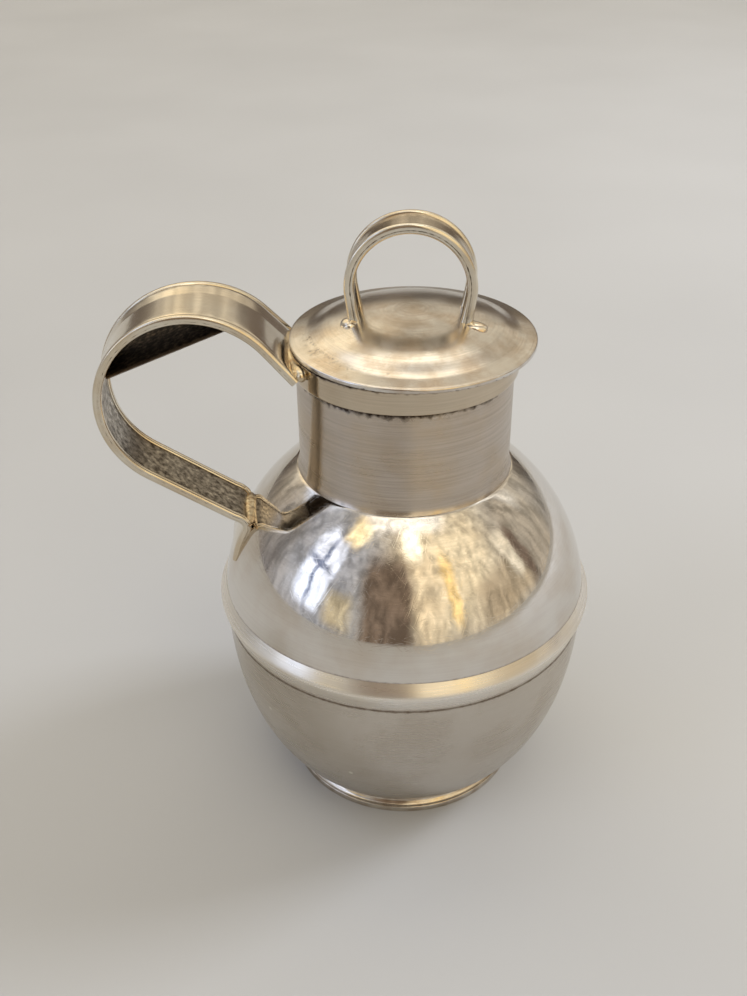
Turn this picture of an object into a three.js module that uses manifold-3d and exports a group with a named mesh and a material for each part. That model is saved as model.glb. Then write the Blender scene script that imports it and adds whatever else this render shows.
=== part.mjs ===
// A small lidded cream jug of the milk-can form, in silver: a pot-bellied body with a
// girdle, a straight neck, a strap handle with wired edges and a lift-off lid with a loop.
// Millimetres, +Z up. The jug stands on Z = 0 and pours towards +X. The origin is the
// middle of the rectangle that the jug covers on the table.

import * as THREE from 'three';
import { mergeVertices } from 'three/addons/utils/BufferGeometryUtils.js';
import Module from 'manifold-3d';

const wasm = await Module();
wasm.setup();

// Shared sizes
const sheet = 0.8; // silver sheet of the body, neck, cover and straps
const seam = 0.3; // gap left at each soldered joint
const roundSteps = 48; // facets round every turned piece
const curveSteps = 10; // facets along each curved wall of the body
const cornerSteps = 3; // facets round the bowl's lower corner
const crownSteps = 6; // facets over the girdle and over the dome
const strapSteps = 28; // facets round the handle and round the lid's loop
const tabSteps = 4; // facets along the handle's end on the shoulder
const landingSteps = 30; // halvings that find where the handle meets the shoulder

// Foot
const footRadius = 20.5;
const footHeight = 3.3;
const footWall = 1.1;
const footFlare = 1.2; // how far the foot spreads below its waist
const footLip = 1.1; // height of the spread edge that stands on the table
const footRounding = 0.4;

// Belly
const bellyRadius = 30.5;
const bellyHeight = 36.2; // the widest line, above the table
const bowlFullness = 2.42; // power of the curve below the widest line
const bowlCornerRun = 1.4; // how far the bowl's corner reaches past its flat base
const bowlCornerRise = 2.4;
const shoulderFullness = 1.84; // power of the curve above the widest line
const shoulderTop = 60.5;

// Girdle, the half-round hoop over the seam of the belly
const girdleHeight = 5.7;
const girdleEdge = 0.2; // square edge of the hoop, before it rounds
const girdleCrown = 0.45; // rise of the round face over its edges

// Neck and mouth collar
const neckRadius = 16.8;
const neckLength = 16.2;
const collarHeight = 3.8;
const collarProud = 0.7; // how far the collar stands out from the neck
const collarRounding = 0.25;
const collarFillet = 1.3; // height of the solder under the collar, where the handle meets it

// Lid
const lidShift = 1.2; // the slack lid lies pushed towards the pouring side
const lidPlugSlack = 0.3; // least gap from the plug to the bore when the lid is pushed over
const lidPlugLength = 10;
const lidRadius = 18.8;
const lidEdge = 0.7; // thickness of the lid at its edge
const flangeRise = 0.75; // from the edge's top to the foot of the dome
const domeRadius = 15.4;
const domeStep = 0.35; // small upright step where the dome starts
const domeRise = 3.0;

// Loop on the lid
const loopRadius = 9.8; // outer radius of the round part
const loopShift = -0.35; // the loop stands this far off the lid's centre
const loopHeight = 14; // from the top of the dome to the top of the loop
const loopLegLean = 8; // degrees, the straight legs draw in towards their feet
const loopStrapWidth = 6.9;
const loopRimThickness = 1.6;
const loopRimWidth = 1.1;
const lidTurn = -8; // degrees, the free lid lies a little out of line with the handle

// Handle
const handleRadius = 15.15; // outer radius of the round part
const handleRootDrop = 1.606; // from the lid's seat down to the strap's upper edge on the neck
const handleRootInset = 0.6; // the strap's square end passes the neck's wall by this much
const handleNeckLength = 5.695; // straight part, from the neck's wall to the round part
const handleNeckSlope = 48.8; // degrees, the straight part that climbs from the neck
const handleTailSlope = 34.4; // degrees, the straight part that falls to the shoulder
const handleTabDrop = 6.7; // the end bent down on the shoulder runs this far down it
const handleNeckWidth = 18.2; // the strap's width at its end on the neck
const handleTailWidth = 10.4;
const handleTaperLength = 76.4; // the strap narrows over this length, quickly at first
const handleTaperPower = 3;
const handleRimThickness = 1.4;
const handleRimWidth = 1.2;
const rimBevel = 0.35;

// Plate across the inside of the handle's top
const plateThickness = 0.7;
const plateAngle = 112.7; // degrees, the direction that the plate faces, from the loop's centre
const plateDistance = 10; // from the loop's centre to the plate's upper face
const plateInset = 0.5; // how far the plate's long edges lie inside the strap's

// Heights and radii that follow from the sizes above
const bowlBase = footHeight + seam;
const footTopRadius = footRadius - footFlare;
const bowlFlatRadius = footTopRadius + seam;
const bowlCurveRadius = bowlFlatRadius + bowlCornerRun;
const bowlDepth = curveDepth(bellyHeight - bowlBase, bowlCurveRadius, bowlFullness);
const shoulderDepth = curveDepth(shoulderTop - bellyHeight, neckRadius, shoulderFullness);
const neckBase = shoulderTop + seam;
const neckTop = neckBase + neckLength;
const boreRadius = neckRadius - sheet;
const collarBase = neckTop + seam;
const collarTop = collarBase + collarHeight;
const collarRadius = neckRadius + collarProud;
const lidSeat = collarTop + seam;
const plugRadius = boreRadius - lidShift - lidPlugSlack;
const plugBore = plugRadius - sheet;
const domeFoot = lidSeat + lidEdge + flangeRise;
const domeTop = domeFoot + domeStep + domeRise;
const loopTop = domeTop + loopHeight;
const handleCentre = roundCentre(new THREE.Vector2(-neckRadius, lidSeat - handleRootDrop));
const handleReach = handleRadius - handleCentre.x;

// The jug's axis lies this far from the middle of its outline, because of the handle
const axisX = (handleReach - bellyRadius - seam - girdleEdge - girdleCrown) / 2;

const silver = { color: 0xb9aea3, roughness: 0.22, metalness: 1 };
const brushed = { color: 0xada59c, roughness: 0.34, metalness: 1 };
const worn = { color: 0xcfc3b0, roughness: 0.18, metalness: 1 };
const tarnished = { color: 0x5d5047, roughness: 0.45, metalness: 1 };

// Solids and meshes

function toSolid(geometry) {
  const bare = geometry.clone();
  bare.deleteAttribute('normal');
  bare.deleteAttribute('uv');
  const merged = mergeVertices(bare, 1e-4);
  const faces = [];
  for (let i = 0; i < merged.index.count; i += 3) {
    const face = [0, 1, 2].map((k) => merged.index.getX(i + k));
    if (new Set(face).size === 3) faces.push(...face);
  }
  const mesh = new wasm.Mesh({
    numProp: 3,
    vertProperties: new Float32Array(merged.attributes.position.array),
    triVerts: new Uint32Array(faces),
  });
  return new wasm.Manifold(mesh);
}

function toGeometry(solid) {
  const { vertProperties, triVerts } = solid.getMesh();
  const geometry = new THREE.BufferGeometry();
  geometry.setAttribute('position', new THREE.BufferAttribute(vertProperties, 3));
  geometry.setIndex(new THREE.BufferAttribute(triVerts, 1));
  const faceted = geometry.toNonIndexed();
  faceted.computeVertexNormals();
  return faceted;
}

function piece(name, solid, finish) {
  const mesh = new THREE.Mesh(toGeometry(solid), new THREE.MeshStandardMaterial(finish));
  mesh.name = name;
  return mesh;
}

// Profiles are lists of [radius, height], outer side upwards and inner side downwards.
function turned(profile) {
  const points = profile.map(([radius, height]) => new THREE.Vector2(radius, height));
  if (points[0].x > 0) points.push(points[0].clone());
  const geometry = new THREE.LatheGeometry(points, roundSteps);
  geometry.rotateX(Math.PI / 2);
  return toSolid(geometry);
}

// A bar along a line drawn in X and Z. The section gives its corners at a distance along
// the line, each as [place along Y, depth to the left of the line].
function swept(line, section) {
  const stations = line.map((point, i) => {
    const before = line[Math.max(i - 1, 0)];
    const after = line[Math.min(i + 1, line.length - 1)];
    const along = after.clone().sub(before).normalize();
    return { point, left: new THREE.Vector2(-along.y, along.x) };
  });
  const distances = runningLength(line);
  const rings = stations.map(({ point, left }, i) => section(distances[i]).map(([y, depth]) => {
    const at = point.clone().addScaledVector(left, depth);
    return new THREE.Vector3(at.x, y, at.y);
  }));
  const corners = rings[0].length;
  const faces = [];
  for (let i = 0; i + 1 < rings.length; i += 1) {
    for (let k = 0; k < corners; k += 1) {
      const next = (k + 1) % corners;
      const [a, b] = [i * corners + k, i * corners + next];
      const [c, d] = [a + corners, b + corners];
      faces.push(a, d, b, a, c, d);
    }
  }
  const last = (rings.length - 1) * corners;
  for (let k = 1; k + 1 < corners; k += 1) {
    faces.push(0, k, k + 1, last, last + k + 1, last + k);
  }
  const geometry = new THREE.BufferGeometry().setFromPoints(rings.flat());
  geometry.setIndex(faces);
  return toSolid(geometry);
}

function runningLength(line) {
  let total = 0;
  return line.map((point, i) => {
    total += i > 0 ? point.distanceTo(line[i - 1]) : 0;
    return total;
  });
}

// A flat strip section between two places along Y and two depths.
function stripSection(half, depth, thickness) {
  return [[-half, depth], [-half, depth + thickness], [half, depth + thickness], [half, depth]];
}

// An edge wire's section: a bevelled bar whose far side lies on the strap's edge.
function wireSection(side, half, width, thickness) {
  const [low, high] = side > 0 ? [half - width, half] : [-half, width - half];
  const b = rimBevel;
  return [
    [low + b, 0], [low, b], [low, thickness - b], [low + b, thickness],
    [high - b, thickness], [high, thickness - b], [high, b], [high - b, 0],
  ];
}

// Curves

function radians(degrees) {
  return (degrees * Math.PI) / 180;
}

// The belly's curves follow radius = belly * sqrt(1 - (distance / depth) ^ fullness), where
// distance is measured from the widest line. This is the depth that brings the radius to
// endRadius at the distance run.
function curveDepth(run, endRadius, fullness) {
  return run / (1 - (endRadius / bellyRadius) ** 2) ** (1 / fullness);
}

function bellyCurve(distance, depth, fullness, inset) {
  const share = Math.min(distance / (depth - inset), 1);
  return (bellyRadius - inset) * Math.sqrt(1 - share ** fullness);
}

function shoulderWall(inset) {
  const start = bellyHeight + seam / 2;
  return steps(curveSteps).map((t) => {
    const height = THREE.MathUtils.lerp(start, shoulderTop, t);
    return [bellyCurve(height - bellyHeight, shoulderDepth, shoulderFullness, inset), height];
  });
}

function bowlWall(inset) {
  const base = bowlBase + inset;
  const cornerTop = base + bowlCornerRise;
  const bowlRadius = (height) => bellyCurve(bellyHeight - height, bowlDepth, bowlFullness, inset);
  const corner = new THREE.QuadraticBezierCurve(
    new THREE.Vector2(bowlFlatRadius, base),
    new THREE.Vector2(bowlFlatRadius + bowlCornerRun, base),
    new THREE.Vector2(bowlRadius(cornerTop), cornerTop),
  );
  const side = steps(curveSteps).map((t) => {
    const height = THREE.MathUtils.lerp(cornerTop, bellyHeight - seam / 2, t);
    return [bowlRadius(height), height];
  });
  return [...corner.getPoints(cornerSteps).map((p) => [p.x, p.y]), ...side.slice(1)];
}

// Even shares from 0 to 1.
function steps(count) {
  return Array.from({ length: count + 1 }, (_, i) => i / count);
}

function polar(centre, distance, angle) {
  const reach = new THREE.Vector2(Math.cos(angle) * distance, Math.sin(angle) * distance);
  return centre.clone().add(reach);
}

// Body

function footRing() {
  const inner = footTopRadius - footWall;
  return turned([
    [inner, 0],
    [footRadius - footRounding, 0],
    [footRadius, footRounding],
    [footRadius, footLip],
    [footTopRadius, footLip + footFlare / 2],
    [footTopRadius, footHeight],
    [inner, footHeight],
  ]);
}

function lowerBowl() {
  const inside = bowlWall(sheet).reverse();
  return turned([[0, bowlBase], ...bowlWall(0), ...inside, [0, bowlBase + sheet]]);
}

function shoulder() {
  return turned([...shoulderWall(0), ...shoulderWall(sheet).reverse()]);
}

function girdleBand() {
  const inner = bellyRadius + seam;
  const crown = new THREE.EllipseCurve(
    inner + girdleEdge, bellyHeight, girdleCrown, girdleHeight / 2, -Math.PI / 2, Math.PI / 2,
  );
  return turned([
    [inner, bellyHeight - girdleHeight / 2],
    ...crown.getPoints(crownSteps).map((p) => [p.x, p.y]),
    [inner, bellyHeight + girdleHeight / 2],
  ]);
}

function neckTube() {
  return turned([
    [boreRadius, neckBase],
    [neckRadius, neckBase],
    [neckRadius, neckTop],
    [boreRadius, neckTop],
  ]);
}

function mouthCollar() {
  return turned([
    [boreRadius, collarBase],
    [collarRadius - collarRounding, collarBase],
    [collarRadius, collarBase + collarRounding],
    [collarRadius, collarTop - collarRounding],
    [collarRadius - collarRounding, collarTop],
    [boreRadius, collarTop],
  ]);
}

// Everything inside the body's skin, one seam larger: the handle's ends are cut by it.
function bodyEnvelope() {
  return turned([
    [0, bowlBase],
    ...bowlWall(-seam).slice(1),
    ...shoulderWall(-seam),
    [neckRadius + seam, shoulderTop],
    [neckRadius + seam, neckTop - collarFillet],
    [collarRadius + seam, neckTop],
    [collarRadius + seam, collarTop],
    [0, collarTop],
  ]);
}

// Handle

// The round part follows on the straight part that leaves the neck's wall at the root.
function roundCentre(root) {
  const slope = radians(handleNeckSlope);
  const from = polar(root, handleNeckLength, Math.PI - slope);
  return polar(from, -handleRadius, Math.PI / 2 - slope);
}

// The strap's outer edge: up from the neck, round the loop, down to the shoulder and along it.
function handleLine() {
  const from = radians(90 - handleNeckSlope);
  const to = radians(270 - handleTailSlope);
  const start = polar(loopPoint(from), handleLead(), radians(-handleNeckSlope));
  const round = steps(strapSteps).map((t) => loopPoint(THREE.MathUtils.lerp(from, to, t)));
  const landing = tailLanding(loopPoint(to));
  const tab = steps(tabSteps).map((t) => overShoulder(landing - handleTabDrop * t));
  return [start, ...round, ...tab];
}

// The tail falls straight until it stands over the shoulder by its own thickness. Halving the
// tail's drop again and again finds that height.
function tailLanding(from) {
  let [high, low] = [from.y, bellyHeight];
  for (let i = 0; i < landingSteps; i += 1) {
    const height = (high + low) / 2;
    const x = from.x + (from.y - height) / Math.tan(radians(handleTailSlope));
    [high, low] = x < overShoulder(height).x ? [height, low] : [high, height];
  }
  return high;
}

// The strap's outer edge where its thickness lies on the shoulder, one seam away.
function overShoulder(height) {
  const wall = bellyCurve(height - bellyHeight, shoulderDepth, shoulderFullness, 0);
  return new THREE.Vector2(-wall - seam - handleRimThickness, height);
}

function loopPoint(angle, inset = 0) {
  return polar(handleCentre, handleRadius - inset, angle);
}

// Length of the straight part, from its square end at the neck to the start of the loop.
function handleLead() {
  return handleNeckLength + handleRootInset / Math.cos(radians(handleNeckSlope));
}

// Half the strap's width at a distance along its outer edge, measured from the neck.
function handleHalf(distance) {
  const left = Math.max(1 - distance / handleTaperLength, 0);
  const flare = (handleNeckWidth - handleTailWidth) * left ** handleTaperPower;
  return (handleTailWidth + flare) / 2;
}

// Half the strap's width at an angle of the round part.
function loopHalf(angle) {
  const swing = angle - radians(90 - handleNeckSlope);
  return handleHalf(handleLead() + handleRadius * swing);
}

function handleStrap(envelope) {
  const depth = (handleRimThickness - sheet) / 2;
  const half = (distance) => handleHalf(distance) - handleRimWidth - seam;
  const section = (distance) => stripSection(half(distance), depth, sheet);
  return swept(handleLine(), section).subtract(envelope);
}

function handleRim(side, envelope) {
  const section = (distance) => (
    wireSection(side, handleHalf(distance), handleRimWidth, handleRimThickness)
  );
  return swept(handleLine(), section).subtract(envelope);
}

// The plate is a chord of the loop, as wide as the strap at each of its ends, which stop one
// seam short of the edge wires.
function bridgePlate() {
  const inset = handleRimThickness + seam;
  const spread = Math.acos(plateDistance / (handleRadius - inset));
  const angles = [-1, 1].map((side) => radians(plateAngle) + side * spread);
  const [near, far] = angles.map((angle) => loopPoint(angle, inset));
  const [nearHalf, farHalf] = angles.map((angle) => loopHalf(angle) - plateInset);
  return swept([near, far], (distance) => {
    const half = distance > 0 ? farHalf : nearHalf;
    return stripSection(half, 0, plateThickness);
  });
}

// Lid, drawn about its own axis

function domeHeight(radius) {
  const bow = (domeRadius ** 2 + domeRise ** 2) / (2 * domeRise);
  return domeTop - bow + Math.sqrt(bow ** 2 - radius ** 2);
}

function coverTop() {
  return steps(crownSteps).map((t) => [domeRadius * (1 - t), domeHeight(domeRadius * (1 - t))]);
}

function coverHollow() {
  return steps(crownSteps).map((t) => [plugBore * t, domeHeight(plugBore * t) - sheet]);
}

function lidCover() {
  const edgeRound = lidEdge / 3;
  return turned([
    ...coverHollow(),
    [plugBore, lidSeat],
    [lidRadius - edgeRound, lidSeat],
    [lidRadius, lidSeat + edgeRound],
    [lidRadius, lidSeat + lidEdge - edgeRound],
    [lidRadius - edgeRound, lidSeat + lidEdge],
    [domeRadius, domeFoot],
    ...coverTop(),
  ]);
}

function lidPlug() {
  const top = lidSeat - seam;
  return turned([
    [plugBore, top - lidPlugLength],
    [plugRadius, top - lidPlugLength],
    [plugRadius, top],
    [plugBore, top],
  ]);
}

// Everything under the cover's skin, one seam larger: the loop's feet are cut by it.
function coverEnvelope() {
  const raised = coverTop().map(([radius, height]) => [radius, height + seam]);
  return turned([[0, lidSeat], [domeRadius, lidSeat], ...raised]);
}

// The loop's outer edge, from foot to foot over the top.
function loopLine() {
  const centre = new THREE.Vector2(loopShift, loopTop - loopRadius);
  const lean = radians(loopLegLean);
  const arch = new THREE.EllipseCurve(
    centre.x, centre.y, loopRadius, loopRadius, -lean, Math.PI + lean,
  );
  const round = arch.getPoints(strapSteps);
  const leg = (round[0].y - domeFoot) / Math.cos(lean);
  const right = polar(round[0], leg, radians(270) - lean);
  const left = polar(round.at(-1), leg, radians(270) + lean);
  return [right, ...round, left];
}

function loopStrap(envelope) {
  const half = loopStrapWidth / 2 - loopRimWidth - seam;
  const depth = (loopRimThickness - sheet) / 2;
  return swept(loopLine(), () => stripSection(half, depth, sheet)).subtract(envelope);
}

function loopRim(side, envelope) {
  const section = wireSection(side, loopStrapWidth / 2, loopRimWidth, loopRimThickness);
  return swept(loopLine(), () => section).subtract(envelope);
}

// Assembly

function buildBody() {
  const body = new THREE.Group();
  const envelope = bodyEnvelope();
  body.add(
    piece('foot_ring', footRing(), worn),
    piece('lower_bowl', lowerBowl(), brushed),
    piece('shoulder', shoulder(), silver),
    piece('girdle_band', girdleBand(), worn),
    piece('neck_tube', neckTube(), brushed),
    piece('mouth_collar', mouthCollar(), silver),
    piece('handle_strap', handleStrap(envelope), tarnished),
    piece('handle_front_rim', handleRim(-1, envelope), worn),
    piece('handle_back_rim', handleRim(1, envelope), worn),
    piece('handle_bridge_plate', bridgePlate(), tarnished),
  );
  return body;
}

function buildLid() {
  const lid = new THREE.Group();
  const envelope = coverEnvelope();
  lid.add(
    piece('lid_cover', lidCover(), silver),
    piece('lid_plug', lidPlug(), brushed),
    piece('loop_strap', loopStrap(envelope), tarnished),
    piece('loop_front_rim', loopRim(-1, envelope), worn),
    piece('loop_back_rim', loopRim(1, envelope), worn),
  );
  lid.position.x = lidShift;
  lid.rotation.z = radians(lidTurn);
  return lid;
}

const jug = new THREE.Group();
jug.name = 'cream_jug';
jug.add(buildBody(), buildLid());
jug.position.x = axisX;

export default jug;
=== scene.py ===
"""Looks of a small lidded cream jug of milk-can form, in raised, spun and soldered silver.

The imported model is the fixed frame. Every silver piece is drawn again here as a smooth
surface of the same size: turned walls, edge wires and straps carried along their own
lines, and the solder that joins them. Lengths are in millimetres until they enter a mesh.
"""

import logging
import math
from abc import ABC, abstractmethod
from collections.abc import Callable
from dataclasses import dataclass, field
from enum import Enum

import bpy
import numpy as np
from mathutils import Matrix


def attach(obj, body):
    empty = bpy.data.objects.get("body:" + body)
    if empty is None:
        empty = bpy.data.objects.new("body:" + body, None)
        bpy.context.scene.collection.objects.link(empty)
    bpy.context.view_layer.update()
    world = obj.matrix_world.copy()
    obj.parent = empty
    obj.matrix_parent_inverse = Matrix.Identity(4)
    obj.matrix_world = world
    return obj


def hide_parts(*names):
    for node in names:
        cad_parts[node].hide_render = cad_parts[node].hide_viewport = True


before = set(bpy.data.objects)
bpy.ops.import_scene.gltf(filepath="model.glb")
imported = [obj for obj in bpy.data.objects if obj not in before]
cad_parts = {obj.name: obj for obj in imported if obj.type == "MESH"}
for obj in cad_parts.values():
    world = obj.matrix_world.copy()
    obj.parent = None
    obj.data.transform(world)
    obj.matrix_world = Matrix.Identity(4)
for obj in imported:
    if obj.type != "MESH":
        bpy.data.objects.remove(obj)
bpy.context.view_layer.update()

log = logging.getLogger("cream_jug")

Array = np.ndarray
Node = bpy.types.Node
Socket = bpy.types.NodeSocket
Tree = bpy.types.NodeTree
Value = Node | Socket | float | tuple
Point = tuple[float, float]
Triple = tuple[float, float, float]

MM = 0.001
JUG_BODY = "jug"
LID_BODY = "lid"
AXIS_X = 7.825  # the jug's own axis, in mm
SEAM = 0.3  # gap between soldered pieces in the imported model, in mm
SHEET = 0.8  # thickness of the silver sheet, in mm


class Grain(Enum):
    """Which way the finishing strokes run on a piece."""

    ROUND = "round the jug's axis"
    ALONG = "along the strap or wire"


class Side(Enum):
    """The two long edges of a strap, by their sign along Y."""

    FRONT = -1
    BACK = 1


# Nodes


def linear(code: str) -> tuple[float, float, float, float]:
    """Turns an sRGB hex colour into linear light.

    Args:
        code: colour as "#RRGGBB".

    Returns:
        Linear red, green and blue, with an alpha of 1.
    """
    parts = np.array([int(code[i:i + 2], 16) for i in (1, 3, 5)]) / 255.0
    light = np.where(parts <= 0.04045, parts / 12.92, ((parts + 0.055) / 1.055) ** 2.4)
    return (*(float(value) for value in light), 1.0)


def add_node(tree: Tree, kind: str, inputs: dict[str | int, Value] | None = None, **settings: object) -> Node:
    """Adds one node, with its settings, its values and its links.

    Args:
        tree: node tree that takes the node.
        kind: Blender's type name of the node, without its first word "ShaderNode".
        inputs: input name or index, to a value, to the socket that feeds it, or to a node
            whose first output feeds it.
        **settings: attributes of the node itself.

    Returns:
        The new node.
    """
    node = tree.nodes.new("ShaderNode" + kind)
    for key, value in settings.items():
        setattr(node, key, value)
    for key, value in (inputs or {}).items():
        if isinstance(value, Node):
            value = value.outputs[0]
        if isinstance(value, Socket):
            tree.links.new(value, node.inputs[key])
        else:
            node.inputs[key].default_value = value
    return node


# Finishes


ACROSS_STROKES = 0.25  # turn of the highlight, so that it spreads across the strokes
CLOUD = 0.55  # roughness of the noise that draws patches and borders
STROKE_RANGE = {"From Min": 0.3, "From Max": 0.7}
STROKE_DARK = "#4A4038"
STROKE_ROUGHNESS = 0.05  # added at the bottom of a stroke
SCRATCH_LAYERS = ((0.22, 0.22, 4.5), (-0.30, 0.20, 3.6), (0.75, 0.24, 5.0), (-1.1, 0.24, 4.0))
SCRATCH_RANGE = {"From Min": 0.62, "From Max": 0.72}
SCRATCH_DEPTH_MM = 0.002
FILM_RANGE = {"From Min": 0.36, "From Max": 0.72}
SULPHIDE_AND_SHADE_RANGE = {"From Min": 0.30, "From Max": 0.78}
SULPHIDE_AND_SHADE_ROUGHNESS = 0.28  # added under a full film
BORDER_MM = 0.8  # size of the ragged edge of the sulphide
SPECK_MM = 3.0  # from one pit to the next
SPECK_TONE = "#F1ECE0"
WAVE_MM = 7.0  # from one hammer mark to the next


@dataclass(frozen=True)
class SilverFinish:
    """Sterling silver as one worker's hand left it, with the tarnish of its place and, on some pieces, painted shade.

    Attributes:
        name: name of the material.
        tone: the clean metal.
        toning: the thin warm film that old silver takes on in patches.
        sulphide_and_shade: the dark film in corners and on faces that no cloth reaches, which on some pieces also
            draws painted shade and painted shadow.
        roughness: roughness of the clean metal.
        scatter: anisotropy, how far the strokes spread a reflection across themselves.
        grain: which way the strokes run.
        stroke_mm: width and length of one stroke.
        stroke_depth_mm: depth of the strokes.
        scratch: share of the surface with stray hairline scratches.
        wobble_mm: height of the soft unevenness that the hammer and spinning leave.
        patch_mm: size of a patch of toning.
        film: how far the toning shows, 0 to 1.
        specks: share of small pale pits and dust, 0 to 1.
        duller: extra roughness where the film lies.
        ragged: how far the border of the sulphide wanders, 0 to 1.
        contrast: how much darker the bottoms of the strokes are, 0 to 1.
    """

    name: str
    tone: str = "#E0DCD7"
    toning: str = "#C2B097"
    sulphide_and_shade: str = "#33271E"
    roughness: float = 0.07
    scatter: float = 0.2
    grain: Grain = Grain.ROUND
    stroke_mm: Point = (0.28, 14.0)
    stroke_depth_mm: float = 0.0012
    scratch: float = 0.5
    wobble_mm: float = 0.02
    patch_mm: float = 9.0
    film: float = 0.4
    specks: float = 0.0
    duller: float = 0.05
    ragged: float = 0.9
    contrast: float = 0.14

    def build(self) -> bpy.types.Material:
        """Builds the node material.

        Returns:
            The material, ready for a piece.
        """
        material = bpy.data.materials.new(self.name)
        material.use_nodes = True
        tree = material.node_tree
        tree.nodes.clear()
        place = add_node(tree, "TexCoord").outputs["Object"]
        sheet = add_node(tree, "UVMap", uv_map="UVMap").outputs["UV"]
        strokes = self._strokes(tree, place, sheet)
        film = self._film(tree, place)
        dark = self._sulphide_and_shade(tree, place)
        shader = add_node(tree, "BsdfPrincipled", {
            "Base Color": self._colour(tree, place, strokes, film, dark),
            "Metallic": 1.0,
            "Roughness": self._roughness(tree, strokes, film, dark),
            "Anisotropic": self.scatter,
            "Anisotropic Rotation": ACROSS_STROKES,
            "Tangent": add_node(tree, "Tangent", direction_type="UV_MAP", uv_map="UVMap"),
            "Normal": self._relief(tree, place, sheet, strokes),
        })
        add_node(tree, "OutputMaterial", {"Surface": shader})
        return material

    def _strokes(self, tree: Tree, place: Socket, sheet: Socket) -> Node:
        """Long narrow streaks: noise that is stretched along the strokes.

        Round strokes take X and Y for their long way, so they close on themselves behind
        the jug, and the piece's running length for their narrow way.

        Args:
            tree: node tree of the material.
            place: object coordinates, in metres.
            sheet: the piece's own map, metres along the strokes and across them.

        Returns:
            The node of the streaks.
        """
        narrow, long = (1.0 / size / MM for size in self.stroke_mm)
        flat = add_node(tree, "SeparateXYZ", {0: sheet}).outputs
        if self.grain is Grain.ROUND:
            solid = add_node(tree, "SeparateXYZ", {0: place}).outputs
            ways, scale = (solid[0], solid[1], flat[1]), (long, long, narrow)
        else:
            ways, scale = (flat[0], flat[1]), (long, narrow, 1.0)
        laid = add_node(tree, "CombineXYZ", dict(enumerate(ways)))
        stretched = add_node(tree, "Mapping", {"Vector": laid, "Scale": scale})
        return add_node(tree, "TexNoise", {"Vector": stretched, "Scale": 1.0, "Detail": 3.0, "Roughness": 0.62})

    def _scratches(self, tree: Tree, sheet: Socket) -> Node:
        """Fine hairlines, most of them near the strokes' own way, as thin crests of noise.

        Each layer has its turn in radians, and the width and length of a line in mm.

        Args:
            tree: node tree of the material.
            sheet: the piece's own map.

        Returns:
            The node of their share, 0 to 1.
        """
        total: Value = 0.0
        for turn, width, length in SCRATCH_LAYERS:
            slanted = add_node(tree, "Mapping", {
                "Vector": sheet, "Rotation": (0.0, 0.0, turn), "Location": (turn, 0.3 * turn, 0.0),
            })
            stretched = add_node(tree, "Mapping", {
                "Vector": slanted, "Scale": (1.0 / length / MM, 1.0 / width / MM, 1.0),
            })
            lines = add_node(tree, "TexNoise", {"Vector": stretched, "Scale": 1.0, "Detail": 2.0, "Distortion": 0.6})
            crest = add_node(tree, "MapRange", {"Value": lines, **SCRATCH_RANGE}, interpolation_type="SMOOTHSTEP")
            total = add_node(tree, "Math", {0: total, 1: crest}, operation="ADD")
        return add_node(tree, "Math", {0: total, 1: self.scratch}, operation="MULTIPLY")

    def _film(self, tree: Tree, place: Socket) -> Node:
        """Patches of warm toning, soft at their borders.

        Args:
            tree: node tree of the material.
            place: object coordinates, in metres.

        Returns:
            The node of its share.
        """
        broad = add_node(tree, "TexNoise", {
            "Vector": place, "Scale": 1.0 / (self.patch_mm * MM), "Detail": 4.0, "Roughness": CLOUD,
        })
        return add_node(tree, "MapRange", {"Value": broad, **FILM_RANGE, "To Max": self.film},
                        interpolation_type="SMOOTHSTEP")

    def _sulphide_and_shade(self, tree: Tree, place: Socket) -> Node:
        """Dark film of tarnish and painted shade, by the piece's own tarnish_and_shade values, ragged at its border.

        Args:
            tree: node tree of the material.
            place: object coordinates, in metres.

        Returns:
            The node of its share, 0 to 1.
        """
        # These values carry tarnish and, on some pieces, painted shade and painted shadow.
        spread = add_node(tree, "Attribute", attribute_name="tarnish_and_shade").outputs["Fac"]
        border = add_node(tree, "TexNoise", {
            "Vector": place, "Scale": 1.0 / (BORDER_MM * MM), "Detail": 4.0, "Roughness": CLOUD,
        })
        offset = add_node(tree, "Math", {0: border, 1: self.ragged, 2: -0.5 * self.ragged}, operation="MULTIPLY_ADD")
        total = add_node(tree, "Math", {0: spread, 1: offset}, operation="ADD")
        return add_node(tree, "MapRange", {"Value": total, **SULPHIDE_AND_SHADE_RANGE}, interpolation_type="SMOOTHSTEP")

    def _specks(self, tree: Tree, place: Socket) -> Node:
        """Small round pale pits, about 0.4 mm across and some 3 mm apart.

        Args:
            tree: node tree of the material.
            place: object coordinates, in metres.

        Returns:
            The node of their share, 0 or 1.
        """
        cells = add_node(tree, "TexVoronoi", {"Vector": place, "Scale": 1.0 / (SPECK_MM * MM), "Randomness": 1.0})
        chosen = add_node(tree, "SeparateColor", {0: cells.outputs["Color"]})
        size = add_node(tree, "Math", {0: chosen, 1: 0.11, 2: 0.02}, operation="MULTIPLY_ADD")
        near = add_node(tree, "Math", {0: cells.outputs["Distance"], 1: size}, operation="LESS_THAN")
        some = add_node(tree, "Math", {0: chosen.outputs[1], 1: self.specks}, operation="LESS_THAN")
        return add_node(tree, "Math", {0: near, 1: some}, operation="MULTIPLY")

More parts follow.
